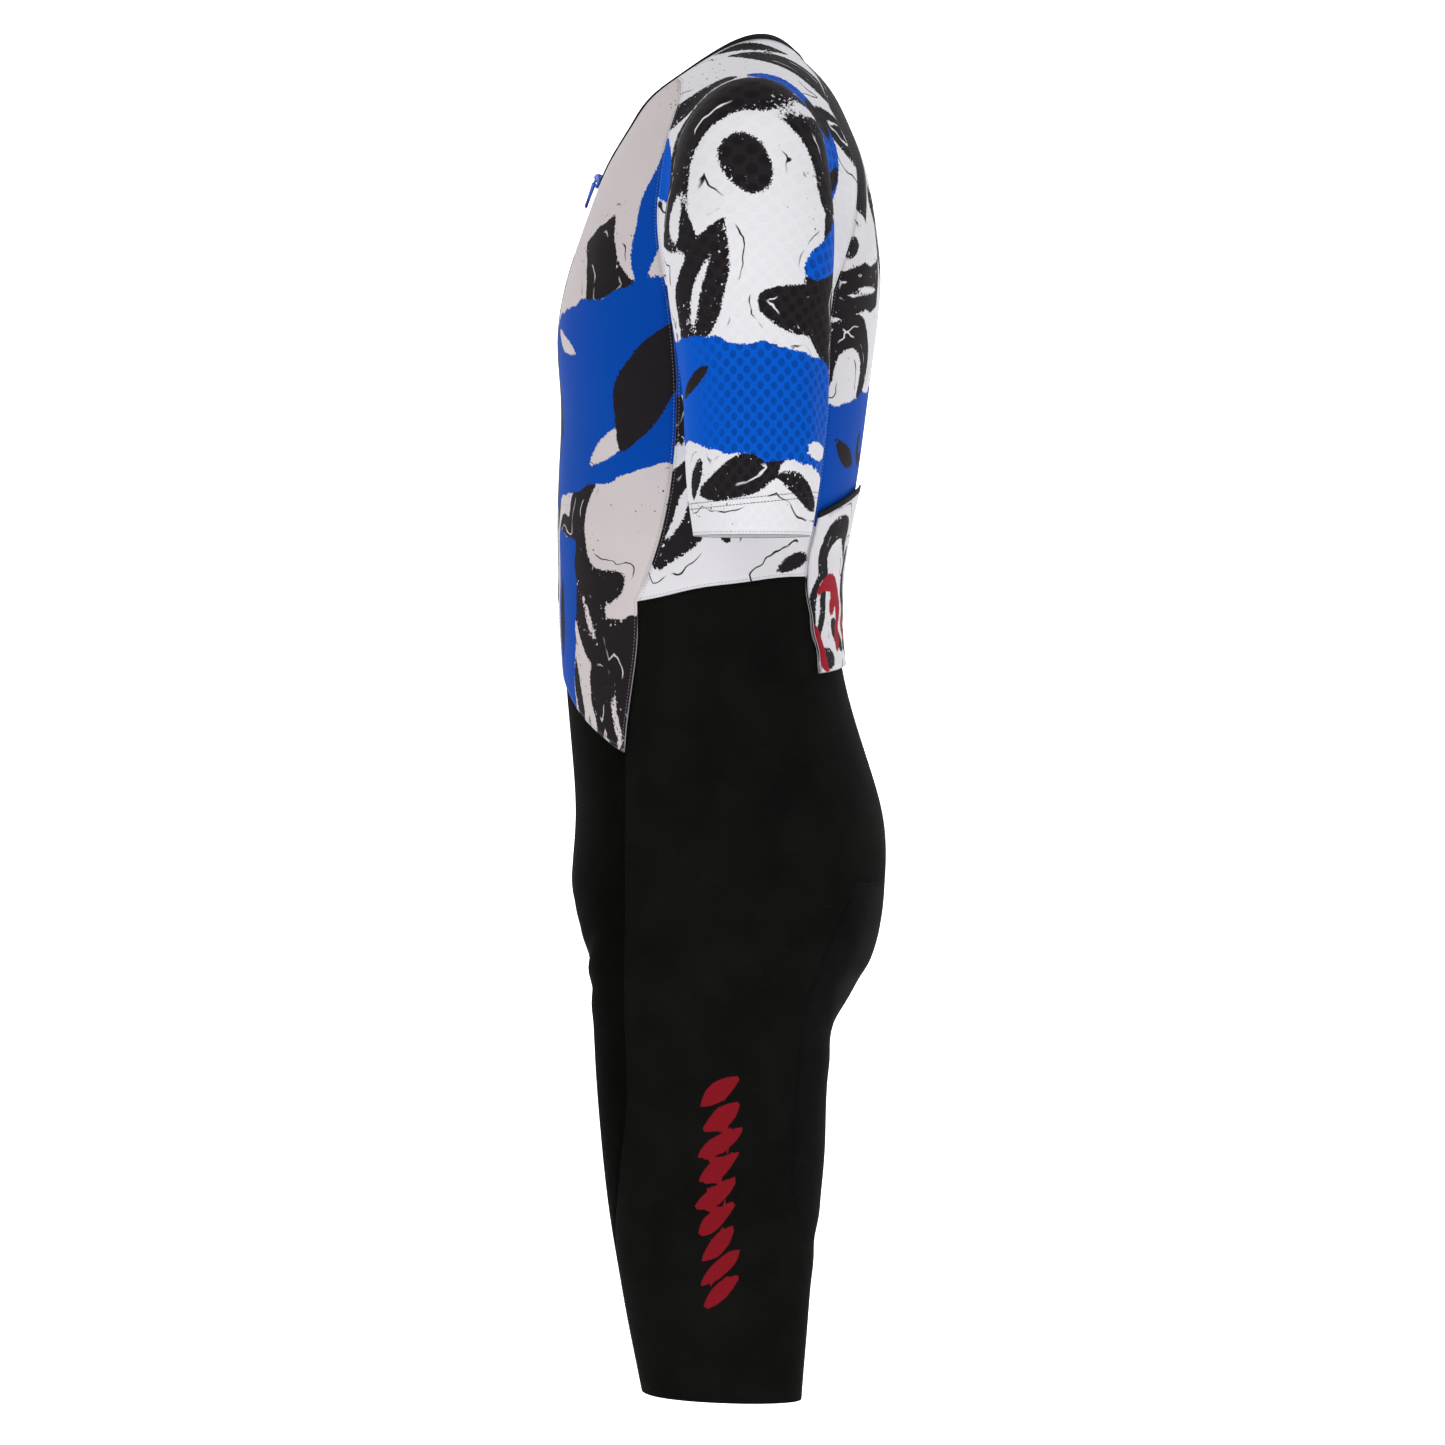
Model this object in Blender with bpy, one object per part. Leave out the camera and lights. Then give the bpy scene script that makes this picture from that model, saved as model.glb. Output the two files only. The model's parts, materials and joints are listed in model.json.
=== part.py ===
"""A short-sleeved cycling skinsuit, filled out with nobody in it.

Metres, +Z up, the front faces -Y and the wearer's left is +X. The origin lies
between the shoulders, where the wearer would carry the suit. Every cloth piece
is a grid of points on one smooth outer form, given its thickness inwards. Seams
read from the side are in millimetres, as seen in the suit's middle plane.
"""

import bpy
import numpy as np

MM = 0.001
WALL = 1.6
SEAM_GAP = 0.3
LAYER_GAP = 0.45
HEM_LIFT = 2.1
SLEEVE_HEM_WALL = 2.2

VIEW_DISTANCE = 4500.0
VIEW_Y, VIEW_Z = -13.3, -473.1

ZIP_HALF, CHAIN_HALF, TAPE_WIDTH = 3.0, 2.4, 12.0
CHAIN_SINK, CHAIN_THICK, TAPE_THICK = 0.2, 1.6, 0.8
TAPE_ROWS = 26
SLIDER_TOP, SLIDER_LENGTH, SLIDER_WIDTH, SLIDER_THICK, SLIDER_LIFT = -58.0, 11.0, 8.0, 2.4, 0.6
PIN_DOWN, PIN_RISE, PIN_RADIUS = 3.0, 2.3, 0.7
LUG_HALF, LUG_WIDTH, LUG_INSIDE = 1.3, 1.2, 2.7
PULL_LENGTH, PULL_HALF, PULL_THICK = 25.0, 3.4, 1.7
EYE_HALF, EYE_RADIUS, HOLE_RADIUS, PULL_REST = 2.3, 1.9, 1.05, 5.0
POCKET_ROWS, POCKET_COLUMN, POCKET_WALL = 7, 4, 1.2
POCKET_ROW_SIDE, POCKET_ROW_MIDDLE = 19.5, 18.5
POCKET_MOUTH, EDGE_ROWS = 2.0, 0.26

RAGLAN, VALLEY, SIDE, FRONT_TAIL, BACK_TAIL = 10, 5, 12, 6, 4
FRONT_COLUMNS, BACK_COLUMNS, SLEEVE_COLUMNS, UNDERARM = 8, 14, 16, 6
SEAT_TOP, APEX, CROTCH, SEAT_END, LEG_END = 12, 13, 18, 26, 30
SHORTS_COLUMNS, HIP_COLUMNS, SEAT_COLUMNS = 10, 6, 6
INNER_FRONT, INNER_UNDER, INNER_BACK, CENTRE_COLUMNS = 6, 5, 3, 4

TRUNK = (
    # height, front, back, half width, roundness in front, roundness behind
    (75, -34, 30, 56, 2.0, 2.0),
    (42, -24, 37, 68, 2.0, 2.0),
    (27, -36, 50, 93, 2.0, 2.0),
    (12, -53, 64, 130, 2.0, 2.05),
    (-3, -71, 74, 152, 2.05, 2.2),
    (-23, -84, 83, 163, 2.1, 2.5),
    (-46, -97, 92, 166, 2.15, 2.8),
    (-91, -116, 102, 163, 2.2, 2.8),
    (-137, -131, 106.5, 158, 2.3, 2.7),
    (-182, -138, 103, 156, 2.3, 2.6),
    (-228, -135.5, 97, 157, 2.3, 2.5),
    (-274, -136.5, 91, 154, 2.25, 2.4),
    (-319, -138, 84, 149, 2.2, 2.3),
    (-365, -137, 77, 144, 2.2, 2.2),
    (-410, -134.5, 75, 142, 2.2, 2.2),
    (-456, -131, 83, 146, 2.2, 2.2),
    (-502, -127, 97, 156, 2.2, 2.2),
    (-547, -125, 109, 166, 2.2, 2.2),
    (-593, -128, 110, 172, 2.2, 2.2),
    (-640, -126, 103, 173, 2.2, 2.2),
    (-700, -118, 84, 168, 2.2, 2.2),
)
LEG = (
    # height, middle, half width, front, back
    (-560, 78, 76, -108, 96),
    (-600, 82, 81, -112, 99),
    (-640, 86, 84, -113, 93),
    (-680, 88, 83, -110.5, 74),
    (-724, 89.5, 80, -108.3, 66.3),
    (-747, 90, 78.5, -106.8, 64.5),
    (-791, 91.5, 76, -103, 63),
    (-836, 93, 72, -97.8, 58.6),
    (-881, 95, 67.5, -90.4, 53.4),
    (-926, 97, 62.5, -82.2, 49.6),
    (-970, 99, 58, -73.3, 45.9),
    (-1000, 100.5, 56, -68, 44),
)
ARM = (
    # way down the arm, half width, half depth, middle
    (-30, 48, 45, 9),
    (0, 50, 52, 8.5),
    (36, 52, 59, 7),
    (70, 53, 62, 6),
    (128, 51, 58, 7.3),
    (179, 49, 53.5, 10),
    (225, 47.5, 50.5, 9.8),
    (270, 44.5, 46.5, 8.4),
    (296, 41, 42.5, 8),
    (330, 38, 38, 7),
)
ARM_JOINT, ARM_HEM, ARM_CAP = (185, 0, -50), (255, 0, -338), 47.0
ARM_BLEND, CROTCH_BLEND = 40.0, 45.0
LEG_BLEND_MIDDLE, LEG_BLEND_SIDE = 30.0, 4.0
CROTCH_Z, CROTCH_Y, CROTCH_RISE = -694.0, 25.0, 0.00264

NECK_EDGE = (
    # degrees round from the front, height
    (0, -65),
    (19, -50),
    (32, -27),
    (37, -19),
    (55, 8),
    (66, 23),
    (76, 31),
    (95, 38.5),
    (120, 37),
    (150, 32),
    (180, 29),
)
NECK_FRONT_SEAM, NECK_BACK_SEAM = 55.0, 142.0

FRONT_RAGLAN = (
    # seen from the side: y, z
    (-46, -3),
    (-52, -21),
    (-58.5, -52),
    (-62, -76),
    (-61, -109),
    (-54, -148),
)
BACK_RAGLAN = (
    # seen from the side: y, z
    (60.5, 13),
    (69, -8),
    (78, -25),
    (87, -46),
    (89, -72),
    (83, -108),
    (71, -144),
)
ARMPIT = (159, 8, -222)
VALLEY_FRONT, VALLEY_BACK = (150, -38, -196), (152, 54, -196)

FRONT_SIDE = (
    # seen from the side: y, z
    (-50, -182),
    (-48, -226),
    (-50, -270),
    (-57, -318),
    (-65, -348),
    (-78, -381),
)
BACK_SIDE = (
    # seen from the side: y, z
    (67, -182),
    (66, -224),
    (59, -300),
    (53, -340),
    (49, -362),
)
SIDE_HEM = ((-61, -378), (-33, -371), (-1, -367), (26, -363))
FRONT_TAIL_SIDE = ((-77.5, -409), (-80.5, -438), (-85, -474), (-87, -496))
FRONT_HEM = ((0, -431.5), (22, -438), (60, -457), (88, -475))
BACK_TAIL_SIDE = ((51.5, -388), (56, -412), (59, -436))
BACK_HEM_MIDDLE = -428.0
POCKET_TOP_SIDE, POCKET_TOP_MIDDLE = -316.0, -296.0

LEG_FRONT_SEAM = (
    # seen from the side: y, z
    (-87.5, -560),
    (-87.5, -640),
    (-88, -700),
    (-86, -763),
    (-90, -806),
    (-93, -836),
)
LEG_FRONT_END = ((106, -92, -868), (99, -86, -900), (98, -79, -935), (98, -73, -969))
HIP_SEAM = ((66, -475), (76, -530), (85, -575), (87.5, -595))
SEAT_SIDE = (
    # seen from the side: y, z
    (80, -612),
    (73, -628),
    (62, -655),
    (51, -684),
    (46, -720),
    (42, -763),
    (40.5, -800),
    (41.5, -840),
    (48, -858),
)
SEAT_TIP = (86, 60, -862)
SEAT_INNER = (
    # x, y, z
    (0, 108, -612),
    (22, 102, -622),
    (42, 88, -655),
    (52, 72, -690),
    (54, 62, -730),
    (56, 60, -780),
    (60, 58, -830),
    (72, 59, -856),
)
LEG_BACK_SEAM = ((88, 55, -890), (92, 50, -930), (97, 46, -976))
CENTRE_FRONT = (
    # x, y, z
    (32, -128, -416),
    (33, -125, -520),
    (33, -124, -600),
    (30, -116, -640),
    (24, -100, -690),
    (20, -68, -722),
)
CENTRE_UNDER = ((12, -45, -724), (9.5, -21, -724), (12, 5, -724))
CENTRE_BACK = ((18, 26, -722), (14, 62, -690), (8, 90, -650), (0, 108, -612))

BINDING = (
    # up from the neck edge, out from the cloth
    (0.4, 0.5),
    (2.6, 0.9),
    (4.6, 0.2),
    (4.6, -1.3),
    (2.6, -2.1),
    (0.4, -1.8),
)

WHITE, GREY, BLUE = (0.66, 0.65, 0.67), (0.55, 0.53, 0.54), (0.0, 0.07, 0.45)
BLACK, SATIN, RED = (0.01, 0.01, 0.01), (0.02, 0.018, 0.019), (0.36, 0.015, 0.03)
NAVY = (0.01, 0.03, 0.16)


def smooth_curve(inputs, values):
    """A natural cubic through the values, as a function."""
    order = np.argsort(inputs)
    x = np.asarray(inputs, float)[order]
    y = np.asarray(values, float)[order]
    n = len(x)
    h = np.diff(x)
    system, right = np.eye(n), np.zeros((n,) + y.shape[1:])
    for i in range(1, n - 1):
        system[i, i - 1 : i + 2] = h[i - 1], 2 * (h[i - 1] + h[i]), h[i]
        right[i] = 6 * ((y[i + 1] - y[i]) / h[i] - (y[i] - y[i - 1]) / h[i - 1])
    bend = np.linalg.solve(system, right)

    def value(q):
        q = np.clip(q, x[0], x[-1])
        i = np.clip(np.searchsorted(x, q) - 1, 0, n - 2)
        extra = (1,) * (y.ndim - 1)
        a = np.reshape(x[i + 1] - q, np.shape(q) + extra)
        b = np.reshape(q - x[i], np.shape(q) + extra)
        g = np.reshape(h[i], np.shape(q) + extra)
        low = y[i] / g - bend[i] * g / 6
        high = y[i + 1] / g - bend[i + 1] * g / 6
        return bend[i] * a**3 / (6 * g) + bend[i + 1] * b**3 / (6 * g) + low * a + high * b

    return value


def columns_of(rows):
    table = np.array(rows, float)
    return [smooth_curve(table[:, 0], table[:, k]) for k in range(1, table.shape[1])]


TRUNK_AT, LEG_AT, ARM_AT = columns_of(TRUNK), columns_of(LEG), columns_of(ARM)
NECK_AT = columns_of(NECK_EDGE)[0]
SHOULDER = np.array(ARM_JOINT, float)
ARM_LENGTH = np.linalg.norm(np.array(ARM_HEM) - SHOULDER)
ARM_WAY = (np.array(ARM_HEM) - SHOULDER) / ARM_LENGTH
ARM_OUT = np.array([-ARM_WAY[2], 0, ARM_WAY[0]])


def joined(a, b, blend):
    """The union of two distance fields, rounded where they meet."""
    close = np.maximum(blend - np.abs(a - b), 0) / blend
    return np.minimum(a, b) - close * close * blend / 4


def oval(across, along, half_across, half_along, power):
    """About the distance outside an oval of a given roundness."""
    reach = np.hypot(across, along) + 1e-6
    ratio = np.abs(across / half_across) ** power + np.abs(along / half_along) ** power
    return reach - reach / np.maximum(ratio, 1e-6) ** (1 / power)


def trunk(p):
    front, back, half, power_front, power_back = (at(p[..., 2]) for at in TRUNK_AT)
    along = p[..., 1] - (front + back) / 2
    power = np.where(along < 0, power_front, power_back)
    wall = oval(p[..., 0], along, half, (back - front) / 2, power)
    floor = CROTCH_Z + CROTCH_RISE * (p[..., 1] - CROTCH_Y) ** 2 - p[..., 2]
    return -joined(-wall, -floor, CROTCH_BLEND)


def leg(p, side):
    middle, half, front, back = (at(p[..., 2]) for at in LEG_AT)
    wall = oval(side * p[..., 0] - middle, p[..., 1] - (front + back) / 2, half, (back - front) / 2, 2.15)
    return -joined(-wall, -(p[..., 2] + 575), 30.0)


def arm(p):
    q = p - SHOULDER
    q[..., 0] = np.abs(p[..., 0]) - SHOULDER[0]
    down, out = q @ ARM_WAY, q @ ARM_OUT
    half, depth, middle = (at(down) for at in ARM_AT)
    side, above = q[..., 1] - middle, np.minimum(down, 0)
    reach = np.sqrt(out**2 + side**2 + above**2) + 1e-6
    ratio = np.sqrt((out / half) ** 2 + (side / depth) ** 2 + (above / ARM_CAP) ** 2)
    return reach - reach / np.maximum(ratio, 1e-6)


def outside_body(p):
    legs = joined(leg(p, 1), leg(p, -1), 6.0)
    near = np.clip((125 - np.abs(p[..., 0])) / 70, 0, 1)
    blend = LEG_BLEND_SIDE + (LEG_BLEND_MIDDLE - LEG_BLEND_SIDE) * near
    return joined(trunk(p), legs, blend)


def outside(p):
    """About how far a point is outside the suit's outer form, in mm."""
    return joined(outside_body(p), arm(p), ARM_BLEND)


def slope(p, step=0.05):
    return np.stack([(outside(p + s) - outside(p - s)) / (2 * step) for s in np.eye(3) * step], -1)


def normal(p):
    n = slope(p)
    return n / np.linalg.norm(n, axis=-1, keepdims=True)


def settled(p):
    """The points moved onto the outer form."""
    p = np.array(p, float)
    for _ in range(12):
        g = slope(p)
        move = g * (outside(p) / (g * g).sum(-1))[..., None]
        size = np.linalg.norm(move, axis=-1, keepdims=True)
        p = p - move * np.minimum(1, 15 / np.maximum(size, 1e-9))
    return p


def way_out(start, way, reach=330.0, step=3.0):
    """Where a line from inside first leaves the outer form."""
    start, way = np.broadcast_arrays(np.asarray(start, float), np.asarray(way, float))
    way = way / np.linalg.norm(way, axis=-1, keepdims=True)
    low, high = np.zeros(way.shape[:-1]), np.full(way.shape[:-1], reach)
    left = np.zeros(way.shape[:-1], bool)
    for far in np.arange(step, reach, step):
        crossed = (outside(start + way * far) > 0) & ~left
        high, low = np.where(crossed, far, high), np.where(crossed, far - step, low)
        left |= crossed
    for _ in range(20):
        middle = (low + high) / 2
        out = outside(start + way * middle[..., None]) > 0
        high, low = np.where(out, middle, high), np.where(out, low, middle)
    return start + way * ((low + high) / 2)[..., None]


def seen(points, form=outside):
    """The points on the wearer's left that a side view shows at (y, z)."""
    points = np.asarray(points, float)
    eye = np.array([VIEW_DISTANCE, VIEW_Y, VIEW_Z])
    goal = np.stack([np.zeros(len(points)), points[:, 0], points[:, 1]], -1)
    way = (goal - eye) / VIEW_DISTANCE
    found = np.full(len(points), np.nan)
    for far in np.arange(VIEW_DISTANCE - 320, VIEW_DISTANCE, 1.0):
        inside = form(eye + way * far) < 0
        found = np.where(np.isnan(found) & inside, far, found)
    if np.isnan(found).any():
        nearest = points[np.isnan(found)]
        raise ValueError(f"the side view misses the suit at {nearest}")
    return settled(eye + way * found[:, None])


def middle_y(z):
    return (TRUNK_AT[0](z) + TRUNK_AT[1](z)) / 2


def round_trunk(degrees, z):
    """The points of the trunk that lie so many degrees round from the front."""
    degrees, z = np.broadcast_arrays(np.asarray(degrees, float), np.asarray(z, float))
    turn = np.radians(degrees)
    start = np.stack([0 * z, middle_y(z), z], -1)
    return way_out(start, np.stack([np.sin(turn), -np.cos(turn), 0 * z], -1))


def face_of(x, z, sign):
    """The front (-1) or back (+1) of the trunk at a given x."""
    x, z = np.broadcast_arrays(np.asarray(x, float), np.asarray(z, float))
    return way_out(np.stack([x, middle_y(z), z], -1), (0, sign, 0))


def run(points, count):
    """count + 1 points, evenly spaced along a smooth line through the given ones."""
    points = np.array(points, float)
    length = np.r_[0, np.cumsum(np.linalg.norm(np.diff(points, axis=0), axis=1))]
    fine = smooth_curve(length, points)(np.linspace(0, length[-1], 400))
    fine = settled(fine)
    length = np.r_[0, np.cumsum(np.linalg.norm(np.diff(fine, axis=0), axis=1))]
    even = np.linspace(0, length[-1], count + 1)
    found = settled(np.stack([np.interp(even, length, fine[:, k]) for k in range(3)], -1))
    found[0], found[-1] = points[0], points[-1]
    return settled(found)


def mirrored(points):
    return np.asarray(points) * (-1, 1, 1)


def frame_about(axis, toward):
    axis = np.asarray(axis, float) / np.linalg.norm(axis)
    toward = np.asarray(toward, float) - axis * np.dot(toward, axis)
    toward = toward / np.linalg.norm(toward)
    return axis, toward, np.cross(axis, toward)


def turned(points, centre, axis, toward):
    """The points as angle, rise and reach about an axis."""
    axis, first, second = frame_about(axis, toward)
    q = np.asarray(points) - centre
    flat = np.hypot(q @ first, q @ second)
    angle = np.arctan2(q @ second, q @ first)
    return np.stack([angle, np.arctan2(q @ axis, flat), np.linalg.norm(q, axis=-1)], -1)


def unturned(polar, centre, axis, toward):
    axis, first, second = frame_about(axis, toward)
    angle, rise, reach = (polar[..., k, None] for k in range(3))
    flat = np.cos(rise) * (np.cos(angle) * first + np.sin(angle) * second)
    return centre + reach * (flat + np.sin(rise) * axis)


def sheet(starts, ends, columns, centre, axis, toward, top=None, bottom=None, whole=None):
    """A grid of points between two seams, a row to each pair of seam points.

    centre, axis and toward are functions of the row's place, 0 at the top and 1
    at the bottom. toward points away from the seam of angles at half a turn.
    """
    rows = len(starts)
    t = np.linspace(0, 1, rows)
    across = np.linspace(0, 1, columns + 1)[:, None]
    polar = []
    for k in range(rows):
        about = centre(t[k]), axis(t[k]), toward(t[k])
        ends_in = turned(np.stack([starts[k], ends[k]]), *about)
        if whole is not None:
            ends_in[0, 0] = whole(ends_in[0, 0], 0)
            ends_in[1, 0] = whole(ends_in[1, 0], 1)
        polar.append(ends_in[0] * (1 - across) + ends_in[1] * across)
    polar = np.array(polar)
    for edge, row, fade in ((top, 0, 1 - t), (bottom, rows - 1, t)):
        if edge is None:
            continue
        about = centre(t[row]), axis(t[row]), toward(t[row])
        given = turned(edge, *about)
        if whole is not None:
            given[0, 0], given[-1, 0] = whole(given[0, 0], 0), whole(given[-1, 0], 1)
        polar = polar + (fade**2)[:, None, None] * (given - polar[row])
    points = np.array([unturned(polar[k], centre(t[k]), axis(t[k]), toward(t[k])) for k in range(rows)])
    points = settled(points)
    points[:, 0], points[:, -1] = starts, ends
    if top is not None:
        points[0] = top
    if bottom is not None:
        points[-1] = bottom
    return points


def about_trunk(starts, ends, ahead=-1):
    """The centre, axis and direction that suit rows round the trunk, by its front or back."""
    heights = (np.asarray(starts)[:, 2] + np.asarray(ends)[:, 2]) / 2
    at = smooth_curve(np.linspace(0, 1, len(heights)), heights)

    def centre(t):
        return np.array([0, float(middle_y(at(t))), float(at(t))])

    return centre, lambda t: (0, 0, -1), lambda t: (0, ahead, 0)


def halves(points, face):
    """A quad's two triangles, split across its shorter diagonal."""
    if len(face) == 3:
        return [face]
    a, b, c, d = face
    first = np.linalg.norm(points[a] - points[c])
    second = np.linalg.norm(points[b] - points[d])
    return [[a, b, c], [a, c, d]] if first < second + 1e-7 else [[a, b, d], [b, c, d]]


def facing(points, normals, face):
    a, b, c = (points[v] for v in face[:3])
    return float(np.sign(np.dot(np.cross(b - a, c - a), normals[face[0]])))


class Cloth:
    """Quads over a list of points on the outer form, welded where they coincide."""

    def __init__(self):
        self.points, self.lifts, self.walls, self.faces = [], [], [], []
        self.known = {}

    def point(self, place, lift, wall):
        key = tuple(np.round(np.asarray(place) * 200).astype(int))
        if key not in self.known:
            self.known[key] = len(self.points)
            self.points.append(np.asarray(place, float))
            self.lifts.append(lift)
            self.walls.append(wall)
        return self.known[key]

    def add(self, grid, lift=0.0, wall=WALL):
        grid = np.asarray(grid)
        lift = np.broadcast_to(lift, grid.shape[:2])
        wall = np.broadcast_to(wall, grid.shape[:2])
        index = [
            [self.point(grid[i, j], lift[i, j], wall[i, j]) for j in range(grid.shape[1])]
            for i in range(grid.shape[0])
        ]
        for i in range(grid.shape[0] - 1):
            for j in range(grid.shape[1] - 1):
                ring = [index[i][j], index[i + 1][j], index[i + 1][j + 1], index[i][j + 1]]
                ring = [v for k, v in enumerate(ring) if v != ring[k - 1]]
                if len(set(ring)) >= 3:
                    self.faces.append(ring)
        return self

    def solid(self, name, colour, shrink=SEAM_GAP / 2):
        """The quads with their thickness, drawn in from every open edge."""
        points, normals = np.array(self.points), normal(np.array(self.points))
        lifts, walls = np.array(self.lifts)[:, None], np.array(self.walls)[:, None]
        faces = [list(face) for face in self.faces]
        if sum(facing(points, normals, face) for face in faces) < 0:
            faces = [face[::-1] for face in faces]
        used = {}
        for face in faces:
            for k, v in enumerate(face):
                used[(face[k - 1], v)] = True
        rim = [edge for edge in used if (edge[1], edge[0]) not in used]
        inward = [[] for _ in points]
        for start, end in rim:
            along = points[end] - points[start]
            side = np.cross(normals[start] + normals[end], along)
            side = side / max(np.linalg.norm(side), 1e-9)
            inward[start].append(side)
            inward[end].append(side)
        moved = points.copy()
        for k, sides in enumerate(inward):
            if sides:
                total = np.sum(sides, axis=0)
                reach = max(np.dot(total, total) / len(sides), 0.06)
                moved[k] = points[k] + total * shrink / reach
        outer = (moved + normals * lifts) * MM
        inner = (moved + normals * (lifts - walls)) * MM
        n = len(points)
        every = faces + [[v + n for v in face[::-1]] for face in faces]
        every += [[start + n, end + n, end, start] for start, end in rim]
        corners = np.vstack([outer, inner])
        return make(name, corners, [half for face in every for half in halves(corners, face)], colour)


def volume(points, faces):
    total = 0.0
    for face in faces:
        for k in range(1, len(face) - 1):
            total += np.linalg.det(points[[face[0], face[k], face[k + 1]]])
    return total / 6


def make(name, points, faces, colour):
    if volume(points, faces) < 0:
        faces = [face[::-1] for face in faces]
    mesh = bpy.data.meshes.new(name)
    mesh.from_pydata([tuple(map(float, p)) for p in points], [], [list(map(int, f)) for f in faces])
    mesh.update()
    material = bpy.data.materials.new(name)
    material.use_nodes = True
    shader = material.node_tree.nodes["Principled BSDF"]
    shader.inputs["Base Color"].default_value = (*colour, 1)
    shader.inputs["Roughness"].default_value = 0.7
    mesh.materials.append(material)
    thing = bpy.data.objects.new(name, mesh)
    bpy.context.scene.collection.objects.link(thing)
    return thing


def seam_set():
    """Every seam of the wearer's left side, by name, sampled once for both its pieces."""
    s = {}
    neck = np.linspace(0, NECK_FRONT_SEAM, FRONT_COLUMNS + 1)
    front_neck = round_trunk(neck, NECK_AT(neck))
    start = face_of(ZIP_HALF, NECK_AT(0.0), -1)
    front_neck = run(np.vstack([start[None], front_neck[1:]]), FRONT_COLUMNS)
    top = np.linspace(NECK_FRONT_SEAM, NECK_BACK_SEAM, 9)
    back = np.linspace(NECK_BACK_SEAM, 180, 5)
    s["neck_front"] = front_neck
    s["neck_sleeve"] = run(round_trunk(top, NECK_AT(top)), SLEEVE_COLUMNS)
    s["neck_back"] = run(round_trunk(back, NECK_AT(back)), BACK_COLUMNS // 2)
    s["neck_sleeve"][0] = s["neck_front"][-1]
    s["neck_back"][0] = s["neck_sleeve"][-1]
    s["neck_back"][-1, 0] = 0

    line = settled(seen(FRONT_RAGLAN, outside_body))
    s["raglan_front"] = run(np.vstack([s["neck_sleeve"][:1], line]), RAGLAN)
    s["raglan_back"] = run(np.vstack([s["neck_sleeve"][-1:], seen(BACK_RAGLAN)]), RAGLAN)
    pit = settled([ARMPIT])
    valley_front = run(np.vstack([s["raglan_front"][-1:], settled([VALLEY_FRONT]), pit]), VALLEY)
    valley_back = run(np.vstack([s["raglan_back"][-1:], settled([VALLEY_BACK]), pit]), VALLEY)
    valley_back[-1] = valley_front[-1]
    s["valley_front"], s["valley_back"] = valley_front, valley_back

    s["side_front"] = run(np.vstack([valley_front[:1], seen(FRONT_SIDE, outside_body)]), SIDE)
    s["side_back"] = run(np.vstack([valley_back[:1], seen(BACK_SIDE, outside_body)]), SIDE)
    ends = s["side_front"][-1:], s["side_back"][-1:]
    s["side_hem"] = run(np.vstack([ends[0], seen(SIDE_HEM, outside_body), ends[1]]), SHORTS_COLUMNS)
    s["front_tail"] = run(np.vstack([ends[0], seen(FRONT_TAIL_SIDE, outside_body)]), FRONT_TAIL)
    s["back_tail"] = run(np.vstack([ends[1], seen(BACK_TAIL_SIDE, outside_body)]), BACK_TAIL)

    rows = RAGLAN + SIDE + FRONT_TAIL
    heights = np.linspace(NECK_AT(0.0), FRONT_HEM[0][1], rows + 1)
    s["zip"] = face_of(ZIP_HALF, heights, -1)
    s["zip"][0] = s["neck_front"][0]
    hem = np.array(FRONT_HEM, float)
    hem = face_of(hem[1:, 0], hem[1:, 1], -1)
    s["front_hem"] = run(np.vstack([s["zip"][-1:], hem[:-1], s["front_tail"][-1:]]), FRONT_COLUMNS)
    half = BACK_COLUMNS // 2
    drop = np.linspace(s["back_tail"][-1, 2], BACK_HEM_MIDDLE, half + 1)
    turn = np.degrees(np.arctan2(s["back_tail"][-1, 0], middle_y(drop[0]) - s["back_tail"][-1, 1]))
    s["back_hem"] = round_trunk(np.linspace(turn, 180, half + 1), drop)
    s["back_hem"][0] = s["back_tail"][-1]
    s["back_hem"][-1, 0] = 0

    front = np.vstack([s["front_tail"][-1:], seen(LEG_FRONT_SEAM, outside_body), settled(LEG_FRONT_END)])
    s["leg_front"] = run(front, LEG_END - FRONT_TAIL)
    hip = run(np.vstack([s["back_tail"][-1:], seen(HIP_SEAM, outside_body)]), SEAT_TOP - BACK_TAIL)
    s["hip"] = hip
    tip = settled([SEAT_TIP])
    s["seat_side"] = run(np.vstack([hip[-1:], seen(SEAT_SIDE, outside_body), tip]), SEAT_END - SEAT_TOP)
    inner = settled(SEAT_INNER)
    s["seat_inner"] = run(np.vstack([inner, tip]), SEAT_END - APEX)
    s["leg_back"] = run(np.vstack([tip, settled(LEG_BACK_SEAM)]), LEG_END - SEAT_END)
    s["seat_inner"][-1] = s["leg_back"][0] = s["seat_side"][-1]

    s["centre_front"] = run(settled(CENTRE_FRONT), CROTCH - FRONT_TAIL + 1)
    back = run(settled(CENTRE_BACK), CROTCH - APEX)
    under = np.vstack([s["centre_front"][-1:], settled(CENTRE_UNDER), back[:1]])
    s["centre_under"] = run(under, INNER_UNDER)
    s["centre_back"] = back
    s["centre_back"][0] = s["centre_under"][-1]
    s["centre_back"][-1] = s["seat_inner"][0]
    s["centre_under"][0] = s["centre_front"][-1]
    return s


def front_panel(s):
    edge = np.vstack([s["raglan_front"], s["side_front"][1:], s["front_tail"][1:]])
    about = about_trunk(s["zip"], edge)
    return sheet(s["zip"], edge, FRONT_COLUMNS, *about, top=s["neck_front"], bottom=s["front_hem"])


def hem_lift(rows, full, ramp):
    """How far each row stands out, rising smoothly to the lower layer's reach."""
    back = np.clip((ramp + full - np.arange(rows)[::-1]) / ramp, 0, 1)
    return (HEM_LIFT * back * back * (3 - 2 * back))[:, None]


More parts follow.
